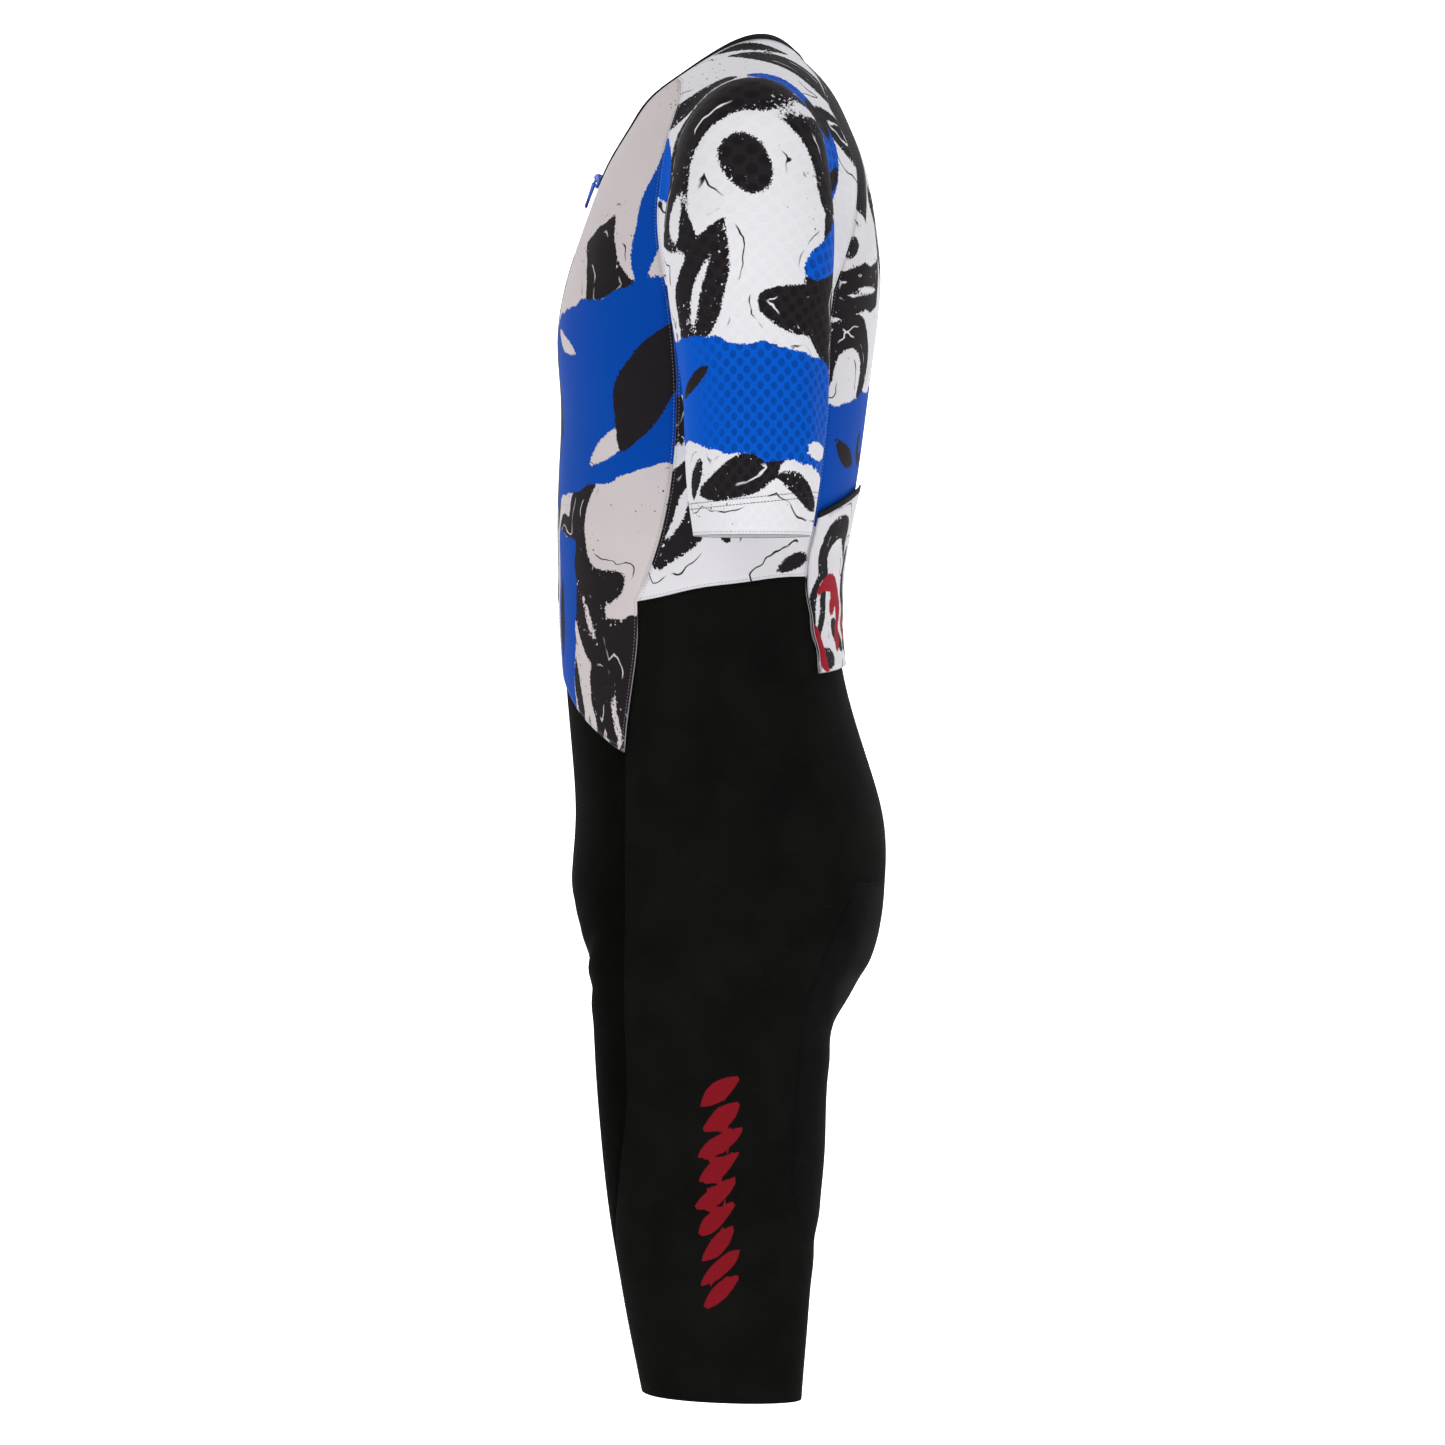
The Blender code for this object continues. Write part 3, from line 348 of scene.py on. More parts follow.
@dataclass(frozen=True)
class Drape:
    """The suit's main creases. Each side has its own share of them."""

    left: tuple[Crease, ...] = (
        Crease(((157, -58, -150), (163, -42, -196), (160, -45, -236)), 6, 1.9),
        Crease(((168, -62, -120), (190, -46, -190), (205, -42, -235)), 7, 1.7),
        Crease(((172, 68, -128), (186, 58, -190), (196, 52, -240)), 7, 1.8),
        Crease(((156, 70, -150), (160, 60, -200), (157, 52, -250)), 6, 1.5),
        Crease(((215, -44, -150), (232, -46, -200), (236, -40, -262)), 8, 1.0),
        Crease(((238, 44, -170), (246, 50, -222), (250, 44, -290)), 8, 1.1),
        Crease(((150, -58, -262), (152, 0, -276), (148, 52, -270)), 8, 1.1),
        Crease(((143, -60, -392), (146, 0, -384), (140, 44, -396)), 9, 1.2),
        Crease(((60, -132, -330), (110, -110, -346), (140, -60, -352)), 9, 0.9),
        Crease(((30, 88, -330), (90, 76, -352), (132, 40, -348)), 8, 1.3),
        Crease(((20, 80, -395), (80, 74, -408), (128, 44, -402)), 8, 1.2),
        Crease(((60, -104, -652), (96, -112, -640), (140, -84, -612)), 9, 1.4),
        Crease(((34, -96, -690), (70, -112, -676), (118, -100, -658)), 8, 1.2),
        Crease(((40, 88, -660), (84, 84, -668), (130, 62, -660)), 8, 1.5),
        Crease(((52, 66, -704), (90, 66, -708), (134, 44, -700)), 9, 1.1),
        Crease(((26, -20, -735), (20, 10, -740), (28, 40, -732)), 7, 1.2),
        Crease(((60, 58, -850), (100, 54, -858), (140, 26, -852)), 10, 0.8),
        Crease(((70, -118, -120), (110, -104, -150), (146, -70, -160)), 9, 0.9),
        Crease(((60, 104, -60), (100, 104, -110), (140, 88, -150)), 9, 1.1),
    )
    right_share: float = 0.8
    right_shift: float = 9.0

    def height(self, p: Grid) -> Grid:
        """How far the creases move points out, in millimetres."""
        total = np.zeros(len(p))
        on_left = smooth_step(p[:, 0], -6.0, 6.0)
        mirror = p * (-1, 1, 1) + (0, 0, self.right_shift)
        for crease in self.left:
            total += crease.drop(p) * on_left
            total += crease.drop(mirror) * (1 - on_left) * self.right_share
        return total


DRAPE = Drape()


class Spread(Enum):
    """How a panel is rolled flat to print it."""

    FRONT = "front"
    BACK = "back"
    SIDE = "side"
    SLEEVE = "sleeve"
    SHORTS = "shorts"


@dataclass(frozen=True)
class FlatMap:
    """Gives points their place on the flat, printed cloth."""

    girth: float = 138.0
    arm_girth: float = 54.0
    sleeve_line: tuple[tuple[float, ...], ...] = (
        # share of the sleeve, centre x, y, z, way x, y, z
        (0.0, 28, 8, 0, 0.75, 0, -0.66),
        (0.238, 95, 8, -52, 0.8, 0, -0.6),
        (0.476, 165, 8, -112, 0.6, 0, -0.8),
        (0.714, 223, 9, -207, 0.236, 0, -0.972),
        (1.0, 255, 8, -338, 0.0, 0, -1.0),
    )

    def flat(self, p: Grid, spread: Spread) -> tuple[Grid, Grid]:
        """Rolls points flat.

        Args:
            p: Points in millimetres.
            spread: The panel's kind.

        Returns:
            Places across and up, in millimetres.
        """
        x, y, z = p.T
        if spread is Spread.SIDE:
            return y, z
        if spread is Spread.SLEEVE:
            return self.sleeve(p)
        if spread is Spread.SHORTS:
            return np.arctan2(y + 20, np.abs(x) - 92) * 78.0, z
        sign = -1 if spread is Spread.FRONT else 1
        return np.arctan2(x, sign * (y - middle_y(z))) * self.girth, z

    def sleeve(self, p: Grid) -> tuple[Grid, Grid]:
        """Rolls a raglan sleeve flat along its own line, from the neck to the hem."""
        table = np.array(self.sleeve_line, float)
        t = np.linspace(0, 1, 161)
        line = smooth_curve(table[:, 0], table[:, 1:])(t)
        centre, way = line[:, :3], line[:, 3:] / np.linalg.norm(line[:, 3:], axis=1, keepdims=True)
        run = np.r_[0, np.cumsum(np.linalg.norm(np.diff(centre, axis=0), axis=1))]
        q = p * np.where(p[:, :1] < 0, -1, 1) ** np.array([1, 0, 0])
        q = q[:, None, :] - centre[None]
        along = np.einsum("ijk,jk->ij", q, way)
        pick = np.argmin(np.abs(along) + 0.02 * np.linalg.norm(q, axis=2), axis=1)
        row = np.arange(len(p))
        out = np.stack([-way[pick, 2], 0 * way[pick, 0], way[pick, 0]], -1)
        turn = np.arctan2(q[row, pick, 1], (q[row, pick] * out).sum(1))
        return turn * self.arm_girth, -(run[pick] + along[row, pick])


FLAT = FlatMap()


@dataclass(frozen=True)
class Stroke:
    """A brush stroke on part of a circle, thinned to its ends."""

    across: float
    up: float
    radius: float
    half: float
    middle: float
    span: float

    def inside(self, u: Grid, v: Grid) -> Grid:
        """How far places are inside the stroke."""
        x, y = u - self.across, v - self.up
        turn = (np.degrees(np.arctan2(y, x)) - self.middle + 180) % 360 - 180
        taper = np.sqrt(np.clip(1 - np.abs(turn / self.span) ** 3, 0, 1))
        beyond = np.radians(np.maximum(np.abs(turn) - self.span, 0)) * self.radius
        return self.half * taper - np.hypot(np.hypot(x, y) - self.radius, beyond)


@dataclass(frozen=True)
class Leaf:
    """A pointed leaf."""

    across: float
    up: float
    length: float
    width: float
    tilt: float

    def inside(self, u: Grid, v: Grid) -> Grid:
        """How far places are inside the leaf."""
        c, s = math.cos(math.radians(self.tilt)), math.sin(math.radians(self.tilt))
        x, y = (u - self.across) * c + (v - self.up) * s, (v - self.up) * c - (u - self.across) * s
        half = self.width / 2 * (1 - (2 * x / self.length) ** 2)
        return np.maximum(half, -40) - np.abs(y) * 0.95


@dataclass(frozen=True)
class Patch:
    """A torn strip with straight sides."""

    across: float
    up: float
    half_width: float
    half_height: float
    tilt: float

    def inside(self, u: Grid, v: Grid) -> Grid:
        """How far places are inside the strip."""
        c, s = math.cos(math.radians(self.tilt)), math.sin(math.radians(self.tilt))
        x, y = (u - self.across) * c + (v - self.up) * s, (v - self.up) * c - (u - self.across) * s
        ragged = 1.6 * np.sin(x / 5.3 + y / 17) + 1.1 * np.sin(x / 2.9 + 2) + 0.9 * np.sin(y / 3.7)
        return np.minimum(self.half_width - np.abs(x), self.half_height - np.abs(y)) + ragged * 0.6


@dataclass(frozen=True)
class Pebble:
    """A rounded blot."""

    across: float
    up: float
    half_width: float
    half_height: float
    tilt: float = 0.0

    def inside(self, u: Grid, v: Grid) -> Grid:
        """How far places are inside the blot."""
        c, s = math.cos(math.radians(self.tilt)), math.sin(math.radians(self.tilt))
        x, y = (u - self.across) * c + (v - self.up) * s, (v - self.up) * c - (u - self.across) * s
        ratio = np.hypot(x / self.half_width, y / self.half_height)
        return (1 - ratio) * min(self.half_width, self.half_height)


Shape = Stroke | Leaf | Patch | Pebble


@dataclass(frozen=True)
class Ink:
    """One colour of a print: its shapes, and what is cut out of them."""

    shapes: tuple[Shape, ...] = ()
    cuts: tuple[Shape, ...] = ()

    def inside(self, u: Grid, v: Grid) -> Grid:
        """How far places are inside the ink, in millimetres, at least -30."""
        total = np.full(len(u), -30.0)
        for shape in self.shapes:
            total = np.maximum(total, shape.inside(u, v))
        for shape in self.cuts:
            total = np.minimum(total, -shape.inside(u, v))
        return total


@dataclass(frozen=True)
class Design:
    """A panel's print: black, blue over it, then more black, and red on top."""

    black: Ink = Ink()
    blue: Ink = Ink()
    over: Ink = Ink()
    red: Ink = Ink()

    def paint(self, mesh: bpy.types.Mesh, u: Grid, v: Grid) -> None:
        """Writes each ink's distances to the mesh, over gently warped cloth.

        Args:
            mesh: The cloth.
            u: Each point's place across the print.
            v: Each point's place up the print.
        """
        bent_u = u + 2.2 * np.sin(v / 19 + 1) + 1.2 * np.sin(v / 7.5 + u / 23)
        bent_v = v + 2.0 * np.sin(u / 21 + 2) + 1.3 * np.sin(u / 8.5 - v / 31)
        for name in ("black", "blue", "over", "red"):
            values = getattr(self, name).inside(bent_u, bent_v)
            layer = mesh.attributes.new("ink_" + name, "FLOAT", "POINT")
            layer.data.foreach_set("value", values.astype(np.float32))


@dataclass(frozen=True)
class Prints:
    """The suit's own print: brush arcs, leaves, blots and torn strips."""

    chest: Design = Design(
        black=Ink(
            (
                Patch(122, -134, 21, 33, 24),
                Leaf(158, -172, 66, 30, 118),
                Stroke(140, -330, 42, 17, 205, 96),
                Leaf(118, -396, 100, 38, 118),
                Stroke(70, -362, 32, 13, 20, 124),
                Patch(150, -462, 30, 66, 4),
                Leaf(40, -300, 66, 20, 76),
                Leaf(96, -452, 58, 14, 100),
                Pebble(72, -432, 9, 14, -20),
                Leaf(24, -120, 60, 18, 96),
            ),
            (Leaf(146, -470, 50, 6, 88), Leaf(118, -394, 52, 6, 118)),
        ),
        blue=Ink(
            (
                Patch(96, -230, 120, 69, 9),
                Patch(62, -416, 30, 84, -7),
                Leaf(168, -96, 130, 26, 82),
            ),
            (Leaf(150, -262, 84, 16, 30), Leaf(70, -190, 60, 10, 160)),
        ),
        over=Ink((Leaf(172, -226, 104, 44, 68), Leaf(30, -236, 70, 17, 130), Leaf(52, -396, 66, 18, 80))),
    )
    back: Design = Design(
        black=Ink(
            (
                Patch(112, -34, 34, 58, 24),
                Patch(104, -150, 40, 18, -7),
                Stroke(112, -210, 29, 12, 100, 130),
                Pebble(128, -120, 10, 8),
                Leaf(60, -110, 96, 28, 58),
                Stroke(30, -222, 40, 13, 220, 90),
                Leaf(112, -396, 84, 34, 66),
                Leaf(-30, -70, 110, 30, -24),
                Stroke(-70, -150, 44, 14, 60, 110),
                Leaf(-116, -120, 100, 26, 74),
                Leaf(-40, -218, 84, 24, 30),
                Pebble(0, -160, 15, 22, 20),
                Leaf(-104, -390, 90, 28, -70),
                Pebble(20, -20, 46, 9, -6),
                Stroke(-110, -240, 24, 8, 170, 110),
            ),
            (Leaf(98, -152, 52, 6, -7), Leaf(60, -110, 60, 7, 58), Pebble(-30, -70, 30, 5, -24)),
        ),
        blue=Ink((Patch(74, -272, 96, 44, -9), Patch(-96, -286, 66, 34, 8), Leaf(8, -112, 90, 20, -72))),
        over=Ink((Leaf(96, -272, 54, 13, 24), Stroke(50, -262, 15, 5, 300, 90), Leaf(-90, -286, 60, 14, -20))),
    )
    flank: Design = Design(
        black=Ink(
            (
                Leaf(-44, -318, 100, 44, 70),
                Stroke(20, -318, 34, 6, 150, 70),
                Pebble(-52, -236, 20, 34, 10),
                Leaf(24, -248, 66, 20, -40),
                Pebble(40, -356, 12, 6, 20),
            ),
            (Leaf(-44, -318, 56, 7, 70),),
        ),
        blue=Ink((Patch(-60, -204, 30, 26, -6),)),
    )
    sleeve: Design = Design(
        black=Ink(
            (
                Stroke(-4, -186, 50, 22, 108, 128),
                Stroke(30, -236, 36, 17, 325, 100),
                Leaf(-42, -262, 110, 36, 57),
                Leaf(60, -270, 90, 40, 112),
                Leaf(-12, -384, 96, 27, 17),
                Leaf(48, -396, 66, 17, -24),
                Pebble(-62, -156, 12, 19, -20),
                Leaf(30, -52, 100, 34, 168),
                Stroke(-34, -78, 30, 9, 250, 80),
                Pebble(66, -96, 24, 15, 14),
                Leaf(0, -22, 60, 15, 8),
                Pebble(-4, -186, 12, 17, 24),
                Leaf(100, -240, 96, 26, 80),
                Leaf(-104, -250, 100, 28, -76),
                Stroke(-120, -350, 26, 9, 40, 110),
                Leaf(120, -372, 76, 22, 60),
                Pebble(14, -310, 10, 15, 12),
                Leaf(-60, -388, 40, 12, 60),
            ),
            (
                Leaf(-42, -262, 66, 6, 57),
                Pebble(-44, -206, 5, 16, -12),
                Pebble(34, -208, 8, 3, 20),
                Pebble(20, -146, 13, 4, 30),
            ),
        ),
        blue=Ink(
            (
                Patch(0, -332, 134, 38, -8),
                Stroke(-10, -178, 84, 15, 14, 70),
                Leaf(-66, -122, 92, 24, 76),
            ),
            (Leaf(70, -366, 44, 12, 6),),
        ),
        over=Ink((Leaf(72, -150, 54, 14, 88), Pebble(46, -108, 9, 15, 50), Leaf(-58, -318, 46, 10, 24))),
    )
    pocket_side: Design = Design(
        black=Ink(
            (
                Stroke(84, -352, 26, 9, 70, 120),
                Leaf(110, -384, 72, 26, 100),
                Leaf(66, -408, 46, 18, 30),
                Pebble(98, -424, 16, 8, 10),
            ),
            (Leaf(110, -384, 42, 6, 100),),
        ),
        red=Ink((Stroke(92, -398, 29, 7.5, 140, 92), Leaf(112, -414, 50, 18, 62), Pebble(82, -386, 6, 9, 30))),
    )
    pocket_centre: Design = Design(
        black=Ink(
            (
                Leaf(-24, -348, 76, 24, 38),
                Stroke(24, -362, 26, 9, 300, 110),
                Leaf(6, -410, 90, 22, -10),
                Pebble(-36, -396, 10, 15),
            )
        ),
        red=Ink((Stroke(-8, -392, 30, 8, 200, 80), Leaf(34, -404, 46, 15, 70))),
    )
    thigh: Design = Design(red=Ink(tuple(Leaf(4, -742.0 - 18.5 * k, 40, 12.5, 36) for k in range(9))))


PRINTS = Prints()


@dataclass(frozen=True)
class PrintedKnit:
    """Polyester warp knit, dyed by sublimation: matt, smooth, with flat inks and torn edges."""

    name: str
    ground: str
    white: str = "#dddbe0"
    ink: str = "#211d20"
    blue: str = "#0045a6"
    red: str = "#98182a"
    inside: str = "#cfcdd2"
    dimples: bool = False
    roughness: float = 0.78
    dimple_across: float = 11.5
    dimple_up: float = 10.6
    dimple_radius: float = 2.9
    speck_area: float = 0.5

    def mask(self, tree: bpy.types.NodeTree, name: str, jag: Any) -> Any:
        """A sharp mask of one ink, its edge moved by a noise given in millimetres."""
        value = add(tree, "Attribute", attribute_name="ink_" + name).outputs["Fac"]
        moved = add(tree, "Math", {0: value, 1: jag}, operation="ADD").outputs[0]
        return add(tree, "MapRange", {0: moved, 1: -0.25, 2: 0.25}).outputs[0]

    def dots(self, tree: bpy.types.NodeTree) -> Any:
        """The knitted dimples: staggered round dots, only on the outer and rear sleeve."""
        flat = add(tree, "Attribute", attribute_name="flat").outputs["Vector"]
        size = (self.dimple_across, self.dimple_up, 1.0)
        share = add(tree, "VectorMath", {0: flat, 1: size}, operation="DIVIDE").outputs[0]
        reach = []
        for shift in (0.0, 0.5):
            moved = add(tree, "VectorMath", {0: share, 1: (shift, shift, 0.0)}, operation="ADD").outputs[0]
            part = add(tree, "VectorMath", {0: moved}, operation="FRACTION").outputs[0]
            centred = add(tree, "VectorMath", {0: part, 1: (0.5, 0.5, 0.0)}, operation="SUBTRACT").outputs[0]
            plane = (self.dimple_across, self.dimple_up, 0.0)
            scaled = add(tree, "VectorMath", {0: centred, 1: plane}, operation="MULTIPLY").outputs[0]
            reach.append(add(tree, "VectorMath", {0: scaled}, operation="LENGTH").outputs["Value"])
        near = add(tree, "Math", {0: reach[0], 1: reach[1]}, operation="MINIMUM").outputs[0]
        low, high = self.dimple_radius - 0.5, self.dimple_radius + 0.4
        dot = add(tree, "MapRange", {0: near, 1: low, 2: high, 3: 1.0, 4: 0.0}).outputs[0]
        across = add(tree, "SeparateXYZ", {0: flat}).outputs[0]
        fade = add(tree, "MapRange", {0: across, 1: -62.0, 2: -18.0}).outputs[0]
        return add(tree, "Math", {0: dot, 1: fade}, operation="MULTIPLY").outputs[0]

    def specks(self, tree: bpy.types.NodeTree, place: Any) -> Any:
        """Scattered ink specks, thick in some places and absent in others."""
        cells = add(tree, "TexVoronoi", {"Vector": place, "Scale": 300.0})
        size = add(tree, "SeparateColor", {0: cells.outputs["Color"]}).outputs[0]
        area = add(tree, "TexNoise", {"Vector": place, "Scale": 11.0, "Detail": 1.0}).outputs[0]
        low, high = self.speck_area, self.speck_area + 0.22
        some = add(tree, "MapRange", {0: area, 1: low, 2: high, 3: -0.95, 4: -0.45}).outputs[0]
        room = add(tree, "Math", {0: size, 1: some}, operation="ADD").outputs[0]
        reach = add(tree, "Math", {0: room, 1: 0.5}, operation="MULTIPLY").outputs[0]
        left = add(tree, "Math", {0: reach, 1: cells.outputs["Distance"]}, operation="SUBTRACT").outputs[0]
        return add(tree, "MapRange", {0: left, 1: -0.02, 2: 0.04}).outputs[0]

    def line(self, tree: bpy.types.NodeTree, name: str, offset: float, jag: Any, area: Any) -> Any:
        """A broken, hand-drawn line that keeps an offset from the edge of an ink."""
        value = add(tree, "Attribute", attribute_name="ink_" + name).outputs["Fac"]
        moved = add(tree, "Math", {0: value, 1: offset}, operation="ADD").outputs[0]
        moved = add(tree, "Math", {0: moved, 1: jag}, operation="ADD").outputs[0]
        size = add(tree, "Math", {0: moved}, operation="ABSOLUTE").outputs[0]
        drawn = add(tree, "MapRange", {0: size, 1: 0.35, 2: 0.75, 3: 1.0, 4: 0.0}).outputs[0]
        return add(tree, "Math", {0: drawn, 1: area}, operation="MULTIPLY").outputs[0]

    def material(self) -> bpy.types.Material:
        """Builds the material."""
        made = bpy.data.materials.new(self.name)
        made.use_nodes = True
        tree = made.node_tree
        shader = tree.nodes["Principled BSDF"]
        place = add(tree, "TexCoord").outputs["Object"]
        fine = add(tree, "TexNoise", {"Vector": place, "Scale": 620.0, "Detail": 3.0}).outputs[0]
        jag = add(tree, "MapRange", {0: fine, 1: 0.3, 2: 0.7, 3: -0.9, 4: 0.9}).outputs[0]
        broad = add(tree, "TexNoise", {"Vector": place, "Scale": 34.0, "Detail": 2.0}).outputs[0]
        some = add(tree, "MapRange", {0: broad, 1: 0.5, 2: 0.56}).outputs[0]
        rest = add(tree, "MapRange", {0: broad, 1: 0.47, 2: 0.41}).outputs[0]
        wobble = add(tree, "MapRange", {0: broad, 1: 0.3, 2: 0.7, 3: -4.0, 4: 4.0}).outputs[0]
        black = self.mask(tree, "black", jag)
        worn = add(tree, "TexNoise", {"Vector": place, "Scale": 380.0, "Detail": 4.0}).outputs[0]
        depth = add(tree, "Attribute", attribute_name="ink_black").outputs["Fac"]
        limit = add(tree, "MapRange", {0: depth, 1: 0.0, 2: 9.0, 3: 0.6, 4: 0.76}).outputs[0]
        flaw = add(tree, "Math", {0: worn, 1: limit}, operation="GREATER_THAN").outputs[0]
        flaw = add(tree, "Math", {0: flaw, 1: some}, operation="MULTIPLY").outputs[0]
        black = add(tree, "Math", {0: black, 1: flaw}, operation="SUBTRACT", use_clamp=True).outputs[0]
        lines = self.line(tree, "black", 6.5, wobble, some)
        black = add(tree, "Math", {0: black, 1: lines}, operation="MAXIMUM").outputs[0]
        black = add(tree, "Math", {0: black, 1: self.specks(tree, place)}, operation="MAXIMUM").outputs[0]
        light = self.line(tree, "black", -7.0, wobble, rest)
        black = add(tree, "Math", {0: black, 1: light}, operation="SUBTRACT", use_clamp=True).outputs[0]
        tone = add(tree, "TexNoise", {"Vector": place, "Scale": 18.0, "Detail": 2.0}).outputs[0]
        ground = add(
            tree, "Mix", {0: tone, 6: linear(self.white), 7: linear(self.ground)}, data_type="RGBA"
        ).outputs[2]
        colour = add(tree, "Mix", {0: black, 6: ground, 7: linear(self.ink)}, data_type="RGBA").outputs[2]
        for name, code in (("blue", self.blue), ("over", self.ink), ("red", self.red)):
            cover = self.mask(tree, name, jag)
            colour = add(tree, "Mix", {0: cover, 6: colour, 7: linear(code)}, data_type="RGBA").outputs[2]
        # On dark inks the dimples are painted darker and the knit between them lighter. This is painted shade in the
        # hollows and a painted highlight on the raised knit. The same dots also make the bump below.
        if self.dimples:
            dots = self.dots(tree)
            shade = add(tree, "MapRange", {0: dots, 3: 1.12, 4: 0.72}).outputs[0]
            bright = add(tree, "SeparateColor", {0: colour}).outputs[0]
            dark = add(tree, "MapRange", {0: bright, 1: 0.3, 2: 0.6, 3: 1.0, 4: 0.06}).outputs[0]
            part = add(tree, "Mix", {0: dark, 2: 1.0, 3: shade}).outputs[0]
            colour = add(
                tree, "VectorMath", {0: colour, "Scale": part}, operation="SCALE"
            ).outputs[0]
        side = add(tree, "Attribute", attribute_name="side").outputs["Fac"]
        shown = add(tree, "MapRange", {0: side, 1: 0.45, 2: 0.55}).outputs[0]
        colour = add(tree, "Mix", {0: shown, 6: linear(self.inside), 7: colour}, data_type="RGBA").outputs[2]
        # The knit's 0.4 mm loops are drawn three times as coarse, so that they show.
        loops = add(tree, "TexVoronoi", {"Vector": place, "Scale": 820.0}).outputs["Distance"]
        height = add(tree, "Math", {0: loops, 1: 0.25}, operation="MULTIPLY").outputs[0]
        if self.dimples:
            height = add(tree, "Math", {0: height, 1: dots}, operation="SUBTRACT").outputs[0]
        bump = add(tree, "Bump", {"Height": height, "Strength": 0.35, "Distance": 0.0004}).outputs[0]
        tree.links.new(colour, shader.inputs["Base Color"])
        tree.links.new(bump, shader.inputs["Normal"])
        shader.inputs["Roughness"].default_value = self.roughness
        shader.inputs["IOR"].default_value = 1.47
        shader.inputs["Specular IOR Level"].default_value = 0.07
        return made


@dataclass(frozen=True)
class PlainCloth:
    """A one-colour cloth with straight ribs of loops or threads."""

    name: str
    colour: str
    rib: float
    tilt: float = 0.0
    relief: float = 0.00012
    roughness: float = 0.85
    specular: float = 0.06
    sheen: float = 0.0
    accent: str | None = None

    def material(self) -> bpy.types.Material:
        """Builds the material."""
        made = bpy.data.materials.new(self.name)
        made.use_nodes = True
        tree = made.node_tree
        shader = tree.nodes["Principled BSDF"]
        place = add(tree, "TexCoord").outputs["Object"]
        turned = add(tree, "Mapping", {"Vector": place, "Rotation": (0.0, math.radians(self.tilt), 0.0)})
        # A band of the wave texture repeats every pi / 10 over its scale.
        scale = math.pi / 10 / (self.rib * MM)
        ribs = add(
            tree, "TexWave", {"Vector": turned.outputs[0], "Scale": scale, "Distortion": 1.2, "Detail": 1.0},
            bands_direction="DIAGONAL",
        ).outputs["Fac"]
        tone = add(tree, "TexNoise", {"Vector": place, "Scale": 26.0, "Detail": 3.0}).outputs[0]
        shade = add(tree, "MapRange", {0: tone, 1: 0.3, 2: 0.7, 3: 0.82, 4: 1.2}).outputs[0]
        colour = add(
            tree, "VectorMath", {0: linear(self.colour)[:3], "Scale": shade}, operation="SCALE"
        ).outputs[0]
        height = ribs
        if self.accent:
            drawn = add(tree, "Attribute", attribute_name="ink_red").outputs["Fac"]
            cover = add(tree, "MapRange", {0: drawn, 1: -0.2, 2: 0.2}).outputs[0]
            colour = add(
                tree, "Mix", {0: cover, 6: colour, 7: linear(self.accent)}, data_type="RGBA"
            ).outputs[2]
            flat = add(tree, "Math", {0: 1.0, 1: cover}, operation="SUBTRACT").outputs[0]
            height = add(tree, "Math", {0: ribs, 1: flat}, operation="MULTIPLY").outputs[0]
        bump = add(tree, "Bump", {"Height": height, "Strength": 0.5, "Distance": self.relief}).outputs[0]
        tree.links.new(colour, shader.inputs["Base Color"])
        tree.links.new(bump, shader.inputs["Normal"])
        shader.inputs["Roughness"].default_value = self.roughness
        shader.inputs["IOR"].default_value = 1.5
        shader.inputs["Specular IOR Level"].default_value = self.specular
        shader.inputs["Sheen Weight"].default_value = self.sheen
        return made


@dataclass(frozen=True)
class HardFinish:
    """A moulded or lacquered surface, with a little unevenness in its gloss."""

    name: str
    colour: str
    roughness: float
    metallic: float = 0.0
    coat: float = 0.0
    ior: float = 1.5
    specular: float = 0.5

    def material(self) -> bpy.types.Material:
        """Builds the material."""
        made = bpy.data.materials.new(self.name)
        made.use_nodes = True
        tree = made.node_tree
        shader = tree.nodes["Principled BSDF"]
        place = add(tree, "TexCoord").outputs["Object"]
        noise = add(tree, "TexNoise", {"Vector": place, "Scale": 900.0, "Detail": 3.0}).outputs[0]
        low, high = self.roughness - 0.06, self.roughness + 0.08
        rough = add(tree, "MapRange", {0: noise, 1: 0.3, 2: 0.7, 3: low, 4: high}).outputs[0]
        shade = add(tree, "MapRange", {0: noise, 1: 0.3, 2: 0.7, 3: 0.93, 4: 1.06}).outputs[0]
        colour = add(
            tree, "VectorMath", {0: linear(self.colour)[:3], "Scale": shade}, operation="SCALE"
        ).outputs[0]
        tree.links.new(colour, shader.inputs["Base Color"])
        tree.links.new(rough, shader.inputs["Roughness"])
        shader.inputs["Metallic"].default_value = self.metallic
        shader.inputs["IOR"].default_value = self.ior
        shader.inputs["Coat Weight"].default_value = self.coat
        shader.inputs["Specular IOR Level"].default_value = self.specular
        return made


